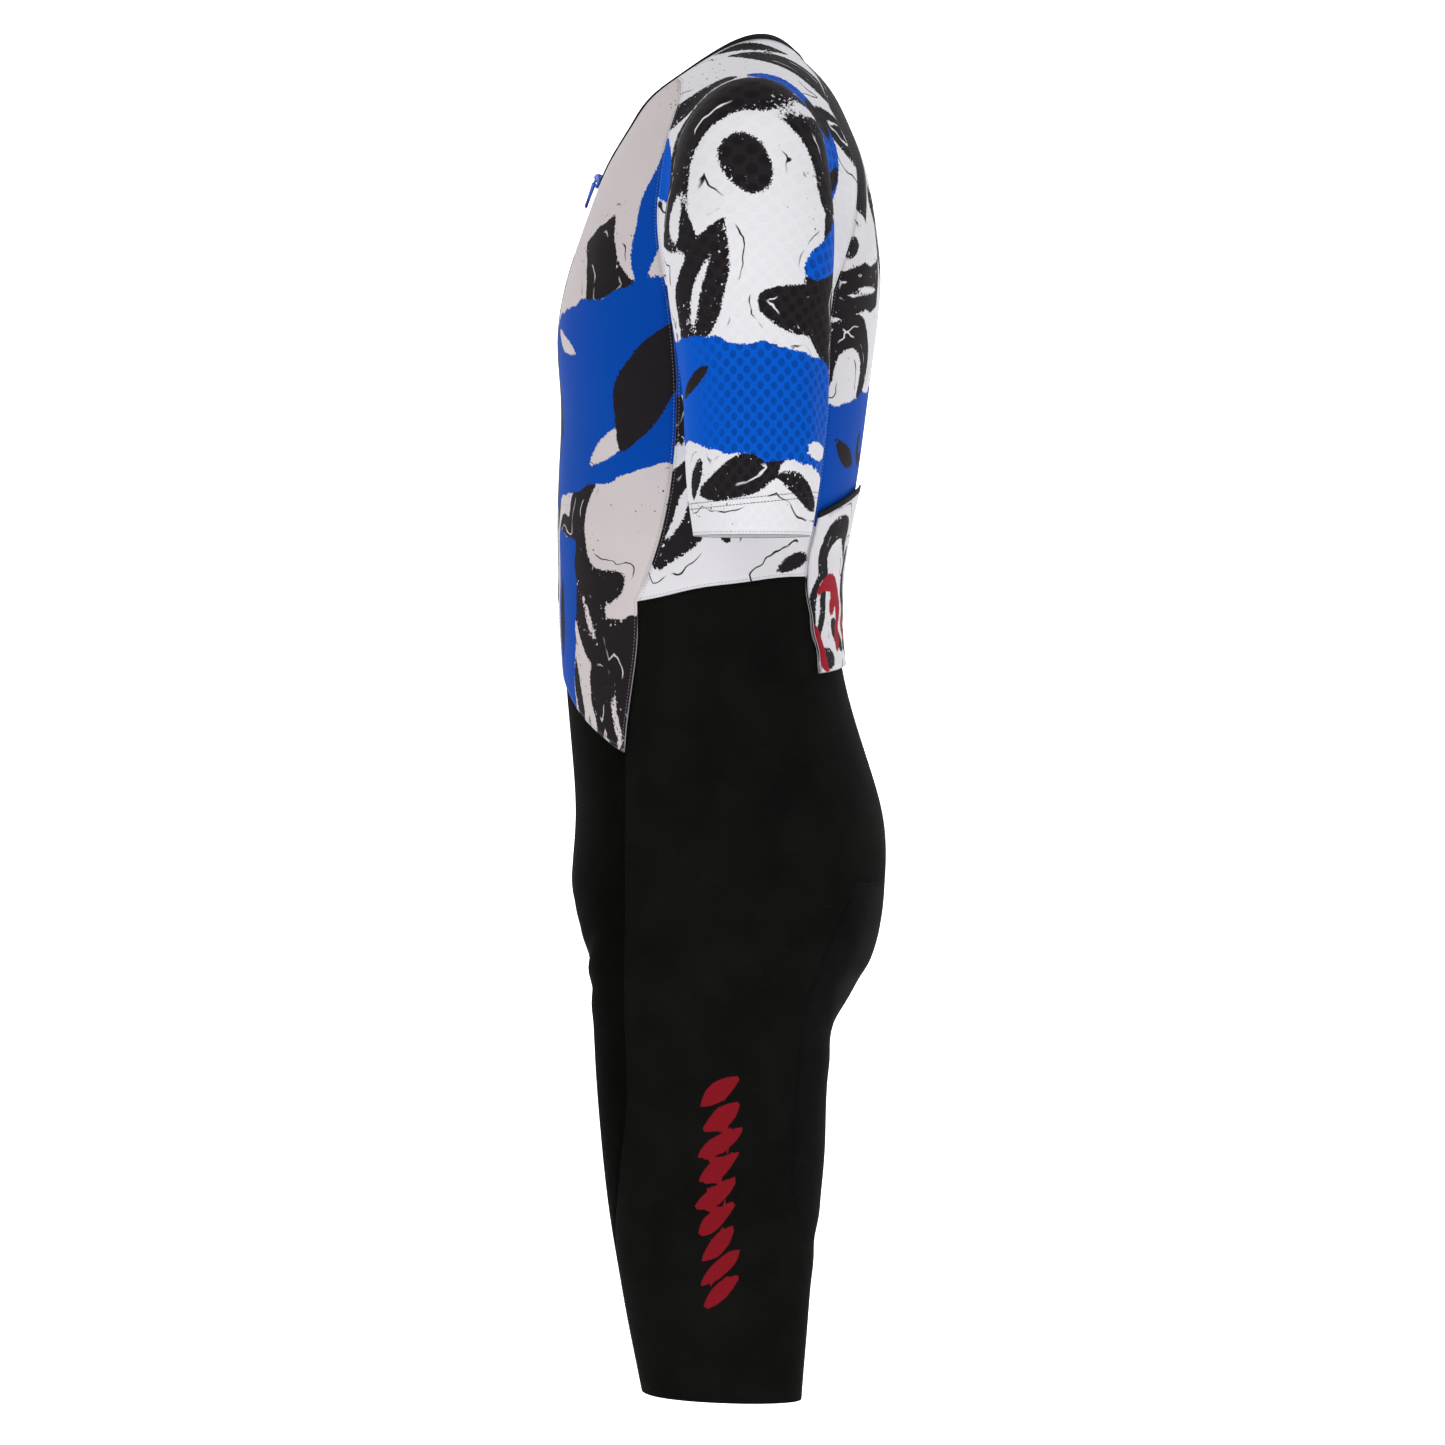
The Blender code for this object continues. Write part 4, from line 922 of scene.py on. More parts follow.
class Finish(Enum):
    """The suit's finishes, by the material each is made of."""

    # The chest knit's ground and white are darker than the body knit's. They carry a pinkish tint of their own,
    # darkened further as painted shade for the front of the chest, which faces away from the light.
    CHEST_KNIT = PrintedKnit("printed_chest_knit_painted_shade", ground="#c9bfc0", white="#cfc7c8", speck_area=0.36)
    BODY_KNIT = PrintedKnit("printed_body_knit", ground="#d6d4d8")
    DIMPLED_KNIT = PrintedKnit("printed_dimpled_knit", ground="#dcdbe0", white="#e2e1e6", blue="#0050ba", dimples=True)
    # The compressive knit is a darker black than the thigh knit: painted shade for the front of the shorts, which
    # faces away from the light.
    COMPRESSIVE_KNIT = PlainCloth("black_compressive_knit_painted_shade", "#090908", rib=1.5, specular=0.012)
    THIGH_KNIT = PlainCloth("black_thigh_knit", "#111110", rib=1.5, specular=0.015, accent="#7c1720")
    SEAT_WEAVE = PlainCloth("black_satin_weave", "#121212", rib=1.1, tilt=35, roughness=0.8, specular=0.015)
    BINDING = PlainCloth("folded_stretch_binding", "#1b191b", rib=1.3, relief=0.0003, specular=0.1)
    ELASTIC = PlainCloth("ribbed_elastic", "#161416", rib=1.6, relief=0.0004, specular=0.1)
    ZIP_TAPE = PlainCloth("woven_zip_tape", "#1a1a1c", rib=1.0, tilt=45, relief=0.0002, specular=0.1)
    LIGHT_THREAD = HardFinish("grey_polyester_thread", "#918d92", 0.75, specular=0.1)
    DARK_THREAD = HardFinish("charcoal_polyester_thread", "#3a373a", 0.75, specular=0.1)
    BLACK_THREAD = HardFinish("black_polyester_thread", "#0b0b0c", 0.85, specular=0.02)
    COIL = HardFinish("moulded_polyester_coil", "#141416", 0.42)
    LACQUER = HardFinish("lacquered_zinc", "#0a55c8", 0.3, coat=0.4)
    RUBBER = HardFinish("navy_moulded_rubber", "#15208c", 0.5)

    def material(self) -> bpy.types.Material:
        """The finish's material, built once."""
        known = bpy.data.materials.get(self.value.name)
        return known or self.value.material()


def object_of(name: str, points: Grid, faces: Iterable[Sequence[int]], finish: Finish) -> bpy.types.Object:
    """Makes a shown mesh object.

    Args:
        name: The piece's name.
        points: Places in millimetres.
        faces: Each face's points.
        finish: What it is made of.

    Returns:
        The object, linked to the scene.
    """
    mesh = bpy.data.meshes.new(name)
    mesh.from_pydata((np.asarray(points, float) * MM).tolist(), [], [list(map(int, f)) for f in faces])
    mesh.update()
    mesh.materials.append(finish.material())
    made = bpy.data.objects.new(name, mesh)
    bpy.context.scene.collection.objects.link(made)
    return made


def smooth_shaded(made: bpy.types.Object, angle: float = 40.0) -> bpy.types.Object:
    """Shades an object smooth, but keeps edges sharper than an angle in degrees."""
    made.data.shade_smooth()
    made.data.set_sharp_from_angle(angle=math.radians(angle))
    return made


@dataclass
class Panel:
    """A cut piece of cloth, refined from its CAD node."""

    node: str
    spread: Spread
    slot: str
    finish: Finish
    flat: tuple[float, float]
    share: float
    sewn_to: tuple[str, ...]
    design: Design | None = None
    shift: tuple[float, float] = (0.0, 0.0)
    suffix: str = "cloth"
    detail: int = 2
    rims: list[list[int]] = field(default_factory=list)

    def open(self) -> None:
        """Reads the node's mesh, finds its sheet and rims."""
        bm = bmesh.new()
        bm.from_mesh(frame["nodes"][self.node].data)
        bmesh.ops.remove_doubles(bm, verts=bm.verts, dist=2e-5)
        bmesh.ops.join_triangles(
            bm, faces=bm.faces, angle_face_threshold=math.radians(40), angle_shape_threshold=math.radians(70)
        )
        bm.verts.ensure_lookup_table()
        bm.faces.ensure_lookup_table()
        bm.normal_update()
        self.bm = bm
        self.points = np.array([v.co for v in bm.verts], float) / MM
        self.levels = outside(self.points)
        ways = slope(self.points)
        self.ways = ways / np.linalg.norm(ways, axis=1, keepdims=True)
        kinds = []
        for face in bm.faces:
            way = self.ways[[v.index for v in face.verts]].mean(0)
            turn = float(np.dot(np.array(face.normal), way))
            kinds.append(1 if turn > 0.6 else -1 if turn < -0.6 else 0)
        self.kinds = kinds
        follow = {}
        for face in bm.faces:
            if kinds[face.index] != 1:
                continue
            for loop in face.loops:
                other = [f for f in loop.edge.link_faces if f != face]
                if other and kinds[other[0].index] != 1:
                    follow[loop.vert.index] = loop.link_loop_next.vert.index
        self.rims = []
        while follow:
            here = next(iter(follow))
            ring = []
            while here in follow:
                ring.append(here)
                here = follow.pop(here)
            self.rims.append(ring)

    def bends(self) -> Grid:
        """The places where the rim turns by more than 25 degrees."""
        found = []
        for ring in self.rims:
            p = self.points[ring]
            before, after = p - np.roll(p, 1, 0), np.roll(p, -1, 0) - p
            cos = (before * after).sum(1) / (
                np.linalg.norm(before, axis=1) * np.linalg.norm(after, axis=1) + 1e-9
            )
            found.append(p[cos < math.cos(math.radians(25))])
        return np.vstack(found) if found else np.zeros((0, 3))

    def refine(self, junctions: Grid) -> bpy.types.Object:
        """Subdivides the sheet on the outer form and lays the creases in it.

        Args:
            junctions: Places where seams meet, which stay where they are.

        Returns:
            The cloth.
        """
        bm = self.bm
        crease = bm.edges.layers.float.new("crease_edge")
        fixed = bm.verts.layers.float.new("crease_vert")
        level, side = bm.verts.layers.float.new("level"), bm.verts.layers.float.new("side")
        outer = {v.index for f in bm.faces if self.kinds[f.index] == 1 for v in f.verts}
        inner = {v.index for f in bm.faces if self.kinds[f.index] == -1 for v in f.verts} - outer
        for edge in bm.edges:
            pair = [self.kinds[f.index] for f in edge.link_faces]
            if len(pair) == 2 and pair[0] != pair[1]:
                edge[crease] = 1.0
        for vert in bm.verts:
            place = self.points[vert.index]
            near = np.linalg.norm(junctions - place, axis=1).min() if len(junctions) else 99.0
            if near < 2.6 and any(edge[crease] > 0 for edge in vert.link_edges):
                vert[fixed] = 1.0
            vert[level] = self.levels[vert.index]
            vert[side] = 0.0 if vert.index in inner else 1.0
        mesh = bpy.data.meshes.new(self.node)
        bm.to_mesh(mesh)
        bm.free()
        name = f"{self.node}_{self.suffix}"
        rough = bpy.data.objects.new(name, mesh)
        bpy.context.scene.collection.objects.link(rough)
        step = rough.modifiers.new("refine", "SUBSURF")
        step.levels = step.render_levels = self.detail
        made = bpy.data.meshes.new_from_object(rough.evaluated_get(bpy.context.evaluated_depsgraph_get()))
        bpy.data.objects.remove(rough)
        cloth = bpy.data.objects.new(name, made)
        made.name = name
        bpy.context.scene.collection.objects.link(cloth)
        count = len(made.vertices)
        place, levels = np.zeros(count * 3, np.float32), np.zeros(count, np.float32)
        made.vertices.foreach_get("co", place)
        made.attributes["level"].data.foreach_get("value", levels)
        p, ways = settled(place.reshape(-1, 3) / MM, levels)
        p = p + ways * DRAPE.height(p)[:, None]
        made.vertices.foreach_set("co", (p * MM).astype(np.float32).ravel())
        made.update()
        u, v = FLAT.flat(p, self.spread)
        flat = made.attributes.new("flat", "FLOAT_VECTOR", "POINT")
        flat.data.foreach_set("vector", np.stack([u, v, 0 * u], -1).astype(np.float32).ravel())
        if self.design:
            sign = -1 if self.node.endswith("_right") else 1
            self.design.paint(made, sign * u + self.shift[0], v + self.shift[1])
        made.materials.clear()
        made.materials.append(self.finish.material())
        smooth_shaded(cloth, 50)
        return cloth

    def declare(self, cloth: bpy.types.Object) -> None:
        """Says what the cloth rides on and hides the CAD node it replaces."""
        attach(cloth, "garment")
        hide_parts(self.node)

    def edge_line(self, junctions: Grid, rounds: int = 3) -> list[Grid]:
        """The rim as fine closed lines on the form, with the level as a fourth column."""
        lines = []
        for ring in self.rims:
            p = np.column_stack([self.points[ring], self.levels[ring]])
            near = np.linalg.norm(p[:, None, :3] - junctions[None], axis=2).min(1)
            sharp = near < 2.6
            for _ in range(rounds):
                moved = (np.roll(p, 1, 0) + 6 * p + np.roll(p, -1, 0)) / 8
                moved = np.where(sharp[:, None], p, moved)
                between = (p + np.roll(p, -1, 0)) / 2
                p = np.stack([moved, between], 1).reshape(-1, 4)
                sharp = np.stack([sharp, np.zeros(len(sharp), bool)], 1).reshape(-1)
            lines.append(p)
        return lines


@dataclass
class Garment:
    """All the cloth of the suit, panel by panel."""

    panels: tuple[Panel, ...]
    seam_reach: float = 2.6

    def junctions(self) -> Grid:
        """Opens every panel and gathers the corners where their seams meet."""
        for panel in self.panels:
            panel.open()
        return np.vstack([panel.bends() for panel in self.panels])

    def build(self) -> Grid:
        """Makes each panel's cloth.

        Returns:
            The places where seams meet.
        """
        corners = self.junctions()
        for panel in self.panels:
            cloth = panel.refine(corners)
            panel.declare(cloth)
            LOG.info("%s: %d faces", cloth.name, len(cloth.data.polygons))
        return corners


SIDES = ("left", "right")


def ring_faces(rows: int, count: int, closed: bool = True) -> list[tuple[int, ...]]:
    """Quads between rings of points laid one after another."""
    wide = count if closed else count - 1
    faces = []
    for i in range(rows - 1):
        for j in range(wide):
            k = (j + 1) % count
            faces.append((i * count + j, i * count + k, (i + 1) * count + k, (i + 1) * count + j))
    return faces


def rounded_plate(outline: Grid, thick: float, radius: float, steps: int = 3) -> tuple[Grid, list[Any]]:
    """A flat plate with rounded rims, its outline in x and z and its thickness in y.

    Args:
        outline: Closed outline, counter-clockwise, in millimetres.
        thick: Full thickness.
        radius: Radius of the rims.
        steps: Rings in each quarter of a rim.

    Returns:
        Points and faces.
    """
    ahead, behind = np.roll(outline, -1, 0), np.roll(outline, 1, 0)
    way = ahead - behind
    inward = np.stack([-way[:, 1], way[:, 0]], -1)
    inward /= np.linalg.norm(inward, axis=1, keepdims=True) + 1e-9
    turn = np.linspace(0, math.pi / 2, steps + 1)
    inset = [radius * (1 - math.sin(t)) for t in turn] + [radius * (1 - math.sin(t)) for t in turn[::-1]]
    height = [-thick / 2 + radius * (1 - math.cos(t)) for t in turn]
    height += [-h for h in height[::-1]]
    rings = []
    for shift, y in zip(inset, height):
        flat = outline + inward * shift
        rings.append(np.stack([flat[:, 0], np.full(len(flat), y), flat[:, 1]], -1))
    count = len(outline)
    faces: list[Any] = ring_faces(len(rings), count)
    faces.append(tuple(range(count - 1, -1, -1)))
    faces.append(tuple(range((len(rings) - 1) * count, len(rings) * count)))
    return np.vstack(rings), faces


def rounded_box_outline(half: float, low: float, high: float, corner: float, steps: int = 5) -> Grid:
    """A rectangle with rounded corners, counter-clockwise."""
    centres = ((half - corner, low + corner), (half - corner, high - corner))
    centres += ((corner - half, high - corner), (corner - half, low + corner))
    points = []
    for k, (x, z) in enumerate(centres):
        for t in np.linspace(-math.pi / 2, 0, steps) + k * math.pi / 2:
            points.append((x + corner * math.cos(t), z + corner * math.sin(t)))
    return np.array(points)


def tube_along(points: Grid, radius: float, sides: int = 6) -> tuple[Grid, list[Any]]:
    """A closed-ended tube along a line of points."""
    way = np.gradient(points, axis=0)
    way /= np.linalg.norm(way, axis=1, keepdims=True) + 1e-9
    aside = np.cross(way, (0.3, 0.2, 1.0))
    aside /= np.linalg.norm(aside, axis=1, keepdims=True) + 1e-9
    over = np.cross(way, aside)
    turn = np.arange(sides) * 2 * math.pi / sides
    around = aside[:, None] * np.cos(turn)[None, :, None] + over[:, None] * np.sin(turn)[None, :, None]
    rings = (points[:, None] + radius * around).reshape(-1, 3)
    faces: list[Any] = ring_faces(len(points), sides)
    faces.append(tuple(range(sides - 1, -1, -1)))
    faces.append(tuple(range((len(points) - 1) * sides, len(points) * sides)))
    return rings, faces


def merged(parts: Iterable[tuple[Grid, list[Any]]]) -> tuple[Grid, list[Any]]:
    """Joins point-and-face pairs into one."""
    points, faces, start = [], [], 0
    for p, f in parts:
        points.append(p)
        faces += [tuple(start + k for k in face) for face in f]
        start += len(p)
    return np.vstack(points), faces


@dataclass(frozen=True)
class Slider:
    """The zip's slider: two plates' worth of body, a bridge over it and the tab's pin."""

    top: float = 3.0
    length: float = 11.0
    half: float = 4.0
    rise: float = 2.3
    thick: float = 2.4
    pin_radius: float = 0.68
    lug_inside: float = 2.7
    lug_wide: float = 1.2
    cheek: tuple[tuple[float, float], ...] = (
        (3.6, 2.7), (1.8, 2.9), (0.2, 2.4), (-1.1, 1.4), (-1.6, 0.1), (-1.5, -1.3), (-0.4, -2.7),
        (2.2, -4.2), (2.9, -6.6), (3.6, -7.6),
    )

    def placed(self, p: Grid, turn: float) -> Grid:
        """Turns points about the pin and moves them there."""
        pin = np.array(frame["record"]["behaviour"]["joints"][0]["pos_m"]) / MM
        c, s = math.cos(turn), math.sin(turn)
        return np.stack([p[:, 0], p[:, 1] * c - p[:, 2] * s, p[:, 1] * s + p[:, 2] * c], -1) + pin

    def lean(self) -> float:
        """The chest's slope at the slider, as a turn about X."""
        top = np.array([[0.0, middle_y(-58.0) - 100.0, -58.0]])
        _, out = settled(top, 0.0, 12)
        return float(math.atan2(-abs(out[0, 2]), -out[0, 1]))

    def build(self) -> None:
        """Makes the slider's body."""
        foot = self.top - self.length
        body = rounded_box_outline(self.half, foot, self.top, 1.6)
        body[:, 0] *= 1 - 0.28 * smooth_step(self.top - body[:, 1], self.length * 0.45, self.length)
        points, faces = rounded_plate(body, self.thick - 0.02, 0.7)
        points[:, 1] += self.rise + self.thick / 2
        parts = [(points, faces)]
        for side in (-1, 1):
            plate, plate_faces = rounded_plate(np.array(self.cheek), self.lug_wide - 0.04, 0.3, 2)
            # The outline's axes are the ways in and up, seen from the side.
            turned = np.stack([plate[:, 1], plate[:, 0], plate[:, 2]], -1)
            turned[:, 0] += side * (self.lug_inside + self.lug_wide / 2)
            parts.append((turned, plate_faces))
        span = self.lug_inside + self.lug_wide / 2
        bar = np.array([(x, 0.0, 0.0) for x in np.linspace(-span, span, 5)])
        parts.append(tube_along(bar, self.pin_radius, 12))
        points, faces = merged(parts)
        made = object_of("slider_body", self.placed(points, self.lean()), faces, Finish.LACQUER)
        smooth_shaded(made)
        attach(made, "garment")
        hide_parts("zip_slider")


@dataclass(frozen=True)
class PullTab:
    """The tab that hangs from the slider: an enamelled blade with a rubber grip."""

    length: float = 25.0
    half: float = 3.4
    thick: float = 1.7
    grip: float = 8.6
    eye_half: float = 2.3
    rest: float = 5.0
    slider: Slider = Slider()

    def build(self) -> None:
        """Makes the blade with its eye, and the grip."""
        turn = self.slider.lean() + math.radians(self.rest)
        eye = []
        for t in np.linspace(0, 2 * math.pi, 17)[:-1]:
            for r, x in ((1.85, -1), (1.85, 1), (1.08, 1), (1.08, -1)):
                eye.append((x * self.eye_half, r * math.cos(t), r * math.sin(t)))
        faces = []
        for k in range(16):
            n = (k + 1) % 16
            for a in range(4):
                b = (a + 1) % 4
                faces.append((4 * k + a, 4 * k + b, 4 * n + b, 4 * n + a))
        parts = [(np.array(eye), faces)]
        neck = rounded_box_outline(self.eye_half, -7.0, -1.3, 0.5)
        parts.append(rounded_plate(neck, self.thick - 0.1, 0.35, 2))
        blade = rounded_box_outline(self.half, 1.0 - self.length + self.grip - 3, -4.5, 1.5)
        blade[:, 0] *= 1 - 0.16 * smooth_step(-blade[:, 1], 4.0, self.length)
        solid, blade_faces = rounded_plate(blade, self.thick + 0.6, 0.8)
        solid[:, 1] *= 1 + 0.35 * (1 - smooth_step(-solid[:, 2], 6.0, self.length - self.grip + 3))
        parts.append((solid, blade_faces))
        points, faces = merged(parts)
        made = object_of("pull_blade", self.slider.placed(points, turn), faces, Finish.LACQUER)
        smooth_shaded(made)
        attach(made, "zip_pull")
        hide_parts("zip_pull")
        grip = rounded_box_outline(self.half * 0.9, -self.length, self.grip - self.length, 1.9)
        parts = [rounded_plate(grip, self.thick + 0.35, 0.7)]
        for k in range(4):
            rib = rounded_box_outline(self.half * 0.66, -0.35, 0.35, 0.3, 3)
            rib[:, 1] += 1.8 + 1.5 * k - self.length
            parts.append(rounded_plate(rib, self.thick + 0.85, 0.2, 2))
        points, faces = merged(parts)
        made = object_of("pull_grip", self.slider.placed(points, turn), faces, Finish.RUBBER)
        smooth_shaded(made)
        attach(made, "zip_pull")


@dataclass(frozen=True)
class Coil:
    """The zip's chain: two rows of moulded teeth that meet over a woven core."""

    pitch: float = 1.6
    reach: float = 2.15
    overlap: float = 0.35
    radius: float = 0.42

    def line(self) -> tuple[Grid, Grid]:
        """The chain's face down the middle of the chest, and its ways out."""
        points = np.array([v.co for v in frame["nodes"]["zip_chain"].data.vertices], float) / MM
        middle = points[np.abs(points[:, 0]) < 0.4]
        height = outside(middle)
        order = middle[height > np.median(height)]
        order = order[np.argsort(-order[:, 2])]
        keep = np.r_[True, np.abs(np.diff(order[:, 2])) > 0.5]
        order = order[keep]
        run = np.r_[0, np.cumsum(np.linalg.norm(np.diff(order, axis=0), axis=1))]
        even = np.arange(0.6, run[-1] - 0.4, self.pitch / 2)
        p = smooth_curve(run, order)(even)
        p[:, 0] = 0.0
        ways = slope(p)
        return p, ways / np.linalg.norm(ways, axis=1, keepdims=True)

    def build(self) -> None:
        """Makes the core and both rows of teeth."""
        p, out = self.line()
        p = p + out * np.maximum(DRAPE.height(p), 0.0)[:, None]
        across = np.array([1.0, 0.0, 0.0])
        section = [(-2.35, 0.1), (-2.1, 0.5), (2.1, 0.5), (2.35, 0.1), (2.35, -1.3), (-2.35, -1.3)]
        step = p[::6]
        ways = out[::6]
        rings = [step + across * x + ways * y for x, y in section]
        core = np.stack(rings, 1).reshape(-1, 3)
        faces: list[Any] = [face[::-1] for face in ring_faces(len(step), len(section))]
        count = len(section)
        faces.append(tuple(range(count)))
        faces.append(tuple(range(len(core) - 1, len(core) - 1 - count, -1)))
        made = smooth_shaded(object_of("zip_core", core, faces, Finish.ZIP_TAPE))
        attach(made, "garment")
        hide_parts("zip_chain")
        for side, first in (("left", 0), ("right", 1)):
            sign = 1 if side == "left" else -1
            teeth = []
            for k in range(first, len(p), 2):
                x = np.array([self.reach, self.reach * 0.4, -self.overlap]) * sign
                rise = np.array([0.4, 0.75, 0.65])
                way = across[None] * x[:, None] + out[k][None] * rise[:, None] + p[k]
                teeth.append(tube_along(way, self.radius, 6))
            points, faces = merged(teeth)
            made = smooth_shaded(object_of(f"coil_{side}", points, faces, Finish.COIL), 60)
            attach(made, "garment")


@dataclass(frozen=True)
class Stitching:
    """Rows of stitches, each a small grain of thread lying on the cloth."""

    name: str
    finish: Finish
    slot: str
    panels: tuple[str, ...]
    inset: float = 1.8
    pitch: float = 2.6
    length: float = 1.9
    half: float = 0.24
    rise: float = 0.18

    def grains(self, line: Grid, level: Grid) -> list[tuple[Grid, list[Any]]]:
        """Stitches along an open or closed line of places on the form."""
        run = np.r_[0, np.cumsum(np.linalg.norm(np.diff(line, axis=0), axis=1))]
        if run[-1] < 3 * self.pitch:
            return []
        even = np.arange(self.pitch / 2, run[-1], self.pitch)
        p = np.stack([np.interp(even, run, line[:, k]) for k in range(3)], -1)
        ahead = np.stack([np.interp(even + 0.5, run, line[:, k]) for k in range(3)], -1)
        high = np.interp(even, run, level)
        p, out = settled(p, high, 2)
        p = p + out * DRAPE.height(p)[:, None]
        way = ahead - p
        way -= out * (way * out).sum(1, keepdims=True)
        way /= np.linalg.norm(way, axis=1, keepdims=True) + 1e-9
        aside = np.cross(out, way)
        tip, wide = way * self.length / 2, aside * self.half
        ends = [p - tip, p + wide, p + out * self.rise, p - wide, p + tip]
        corners = np.stack(ends, 1)
        faces = [(0, 1, 2), (0, 2, 3), (4, 2, 1), (4, 3, 2)]
        return [(corner, faces) for corner in corners]

    def build(self, garment: "Garment", corners: Grid) -> None:
        """Makes this thread's stitches on its panels."""
        parts = []
        for panel in garment.panels:
            if panel.node not in self.panels:
                continue
            for line in panel.edge_line(corners):
                if len(line) < 100:
                    continue
                closed = np.vstack([line, line[:1]])
                p, out = settled(closed[:, :3], closed[:, 3], 1)
                way = np.gradient(p, axis=0)
                way /= np.linalg.norm(way, axis=1, keepdims=True) + 1e-9
                # The rim runs with the cloth on its left, seen from outside.
                inner = p + np.cross(out, way) * self.inset
                parts += self.grains(inner, closed[:, 3] + 0.05)
        points, faces = merged(parts)
        made = object_of(self.name, points, faces, self.finish)
        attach(made, "garment")


@dataclass(frozen=True)
class SeamCord:
    """The turned-in, overlocked edge of each panel, which closes the seams from behind."""

    name: str
    finish: Finish
    slot: str
    panels: tuple[str, ...]
    depth: float = 0.75
    radius: float = 0.42
    outward: float = 0.1

    def build(self, garment: "Garment", corners: Grid) -> None:
        """Makes the edges of this cloth's panels."""
        parts = []
        for panel in garment.panels:
            if panel.node not in self.panels:
                continue
            for line in panel.edge_line(corners, 2):
                if len(line) < 60:
                    continue
                closed = np.vstack([line, line[:1]])
                p, out = settled(closed[:, :3], closed[:, 3], 1)
                way = np.gradient(p, axis=0)
                way /= np.linalg.norm(way, axis=1, keepdims=True) + 1e-9
                p = p - np.cross(out, way) * self.outward + out * (DRAPE.height(p) - self.depth)[:, None]
                parts.append(tube_along(p, self.radius, 5))
        points, faces = merged(parts)
        made = smooth_shaded(object_of(self.name, points, faces, self.finish), 70)
        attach(made, "garment")


@dataclass(frozen=True)
class NeckRoll:
    """The rounded folds at both edges of the neck binding."""

    radius: float = 1.1
    lift: float = 0.2

    def build(self, garment: "Garment", corners: Grid) -> None:
        """Makes the folds."""
        binding = next(panel for panel in garment.panels if panel.node == "neck_binding")
        parts = []
        for line in binding.edge_line(corners, 2):
            closed = np.vstack([line, line[:1]])
            p, out = settled(closed[:, :3], closed[:, 3], 1)
            p = p + out * (DRAPE.height(p) + self.lift - self.radius / 2)[:, None]
            parts.append(tube_along(p, self.radius, 8))
        points, faces = merged(parts)
        made = smooth_shaded(object_of("neck_roll", points, faces, Finish.BINDING), 70)
        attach(made, "garment")


@dataclass(frozen=True)
class HemLines:
    """The twin-needle rows round each sleeve, above its turned-up hem."""

    heights: tuple[float, float] = (20.0, 24.0)
    pitch: float = 2.6
    stitch: Stitching = Stitching("hem_rows", Finish.DARK_THREAD, "white_print", (), length=2.5, half=0.3)

    def build(self) -> None:
        """Makes the rows on both sleeves."""
        parts = []
        for side in SIDES:
            node = frame["nodes"][f"sleeve_{side}"]
            points = np.array([v.co for v in node.data.vertices], float) / MM
            foot = points[:, 2].min()
            centre = points[points[:, 2] < foot + 8].mean(0)
            for height in self.heights:
                turn = np.linspace(0, 2 * math.pi, 121)
                ring = np.stack([45 * np.cos(turn), 48 * np.sin(turn), 0 * turn], -1) + centre
                ring[:, 2] = foot + height + 3.0 + 0.09 * (ring[:, 1] - centre[1])
                level = np.full(len(ring), 0.3)
                p, _ = settled(ring, level, 12)
                parts += self.stitch.grains(p, level)
        points, faces = merged(parts)
        made = object_of(self.stitch.name, points, faces, self.stitch.finish)
        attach(made, "garment")


@dataclass(frozen=True)
class Studio:
    """A pale floor, a backdrop and soft light, with the camera at the wearer's left."""

    distance: float = 4.5
    middle: tuple[float, float] = (-0.0133, -0.4731)
    width: float = 1.0982
    floor: float = -1.35

    def sheet(self, name: str, corners: Sequence[tuple[float, float, float]], glow: float) -> None:
        """Makes a flat part of the set."""
        mesh = bpy.data.meshes.new(name)
        mesh.from_pydata(list(corners), [], [(0, 1, 2, 3)])
        made = bpy.data.objects.new(name, mesh)
        bpy.context.scene.collection.objects.link(made)
        paint = bpy.data.materials.new(name + "_paint")
        paint.use_nodes = True
        shader = paint.node_tree.nodes["Principled BSDF"]
        shader.inputs["Base Color"].default_value = (0.9, 0.9, 0.9, 1)
        shader.inputs["Roughness"].default_value = 0.9
        shader.inputs["Emission Color"].default_value = (1, 1, 1, 1)
        shader.inputs["Emission Strength"].default_value = glow
        mesh.materials.append(paint)

    def lamp(self, name: str, place: tuple[float, float, float], size: float, power: float) -> None:
        """Makes a soft area light that faces the suit's middle."""
        light = bpy.data.lights.new(name, "AREA")
        light.shape = "DISK"
        light.size = size
        light.energy = power
        made = bpy.data.objects.new(name, light)
        bpy.context.scene.collection.objects.link(made)
        way = np.array([0, self.middle[0], self.middle[1]]) - np.array(place)
        made.location = place
        made.rotation_euler = Vector(way).to_track_quat("-Z", "Y").to_euler()

    def build(self) -> None:
        """Makes the set, the lights and the camera."""
        scene = bpy.context.scene
        scene.view_settings.view_transform = "Standard"
        world = bpy.data.worlds.new("studio")
        scene.world = world
        world.use_nodes = True
        world.node_tree.nodes["Background"].inputs["Color"].default_value = (1, 1, 1, 1)
        world.node_tree.nodes["Background"].inputs["Strength"].default_value = 0.42
        far, low, high = 6.0, self.floor, 5.0
        self.sheet("floor", ((-far, -far, low), (far, -far, low), (far, far, low), (-far, far, low)), 0.3)
        wall = ((-2.4, -far, low), (-2.4, far, low), (-2.4, far, high), (-2.4, -far, high))
        self.sheet("backdrop", wall, 1.0)
        self.lamp("key", (3.4, -1.2, 1.2), 1.8, 42)
        self.lamp("fill", (3.2, 1.6, 0.2), 2.2, 27)
        self.lamp("back", (-2.0, 1.2, 1.6), 1.6, 7)
        data = bpy.data.cameras.new("camera")
        data.sensor_width = 36.0
        data.lens = 36.0 * self.distance / self.width
        data.clip_end = 50.0
        camera = bpy.data.objects.new("camera", data)
        scene.collection.objects.link(camera)
        camera.location = (self.distance, self.middle[0], self.middle[1])
        camera.rotation_euler = (math.pi / 2, 0.0, math.pi / 2)
        scene.camera = camera


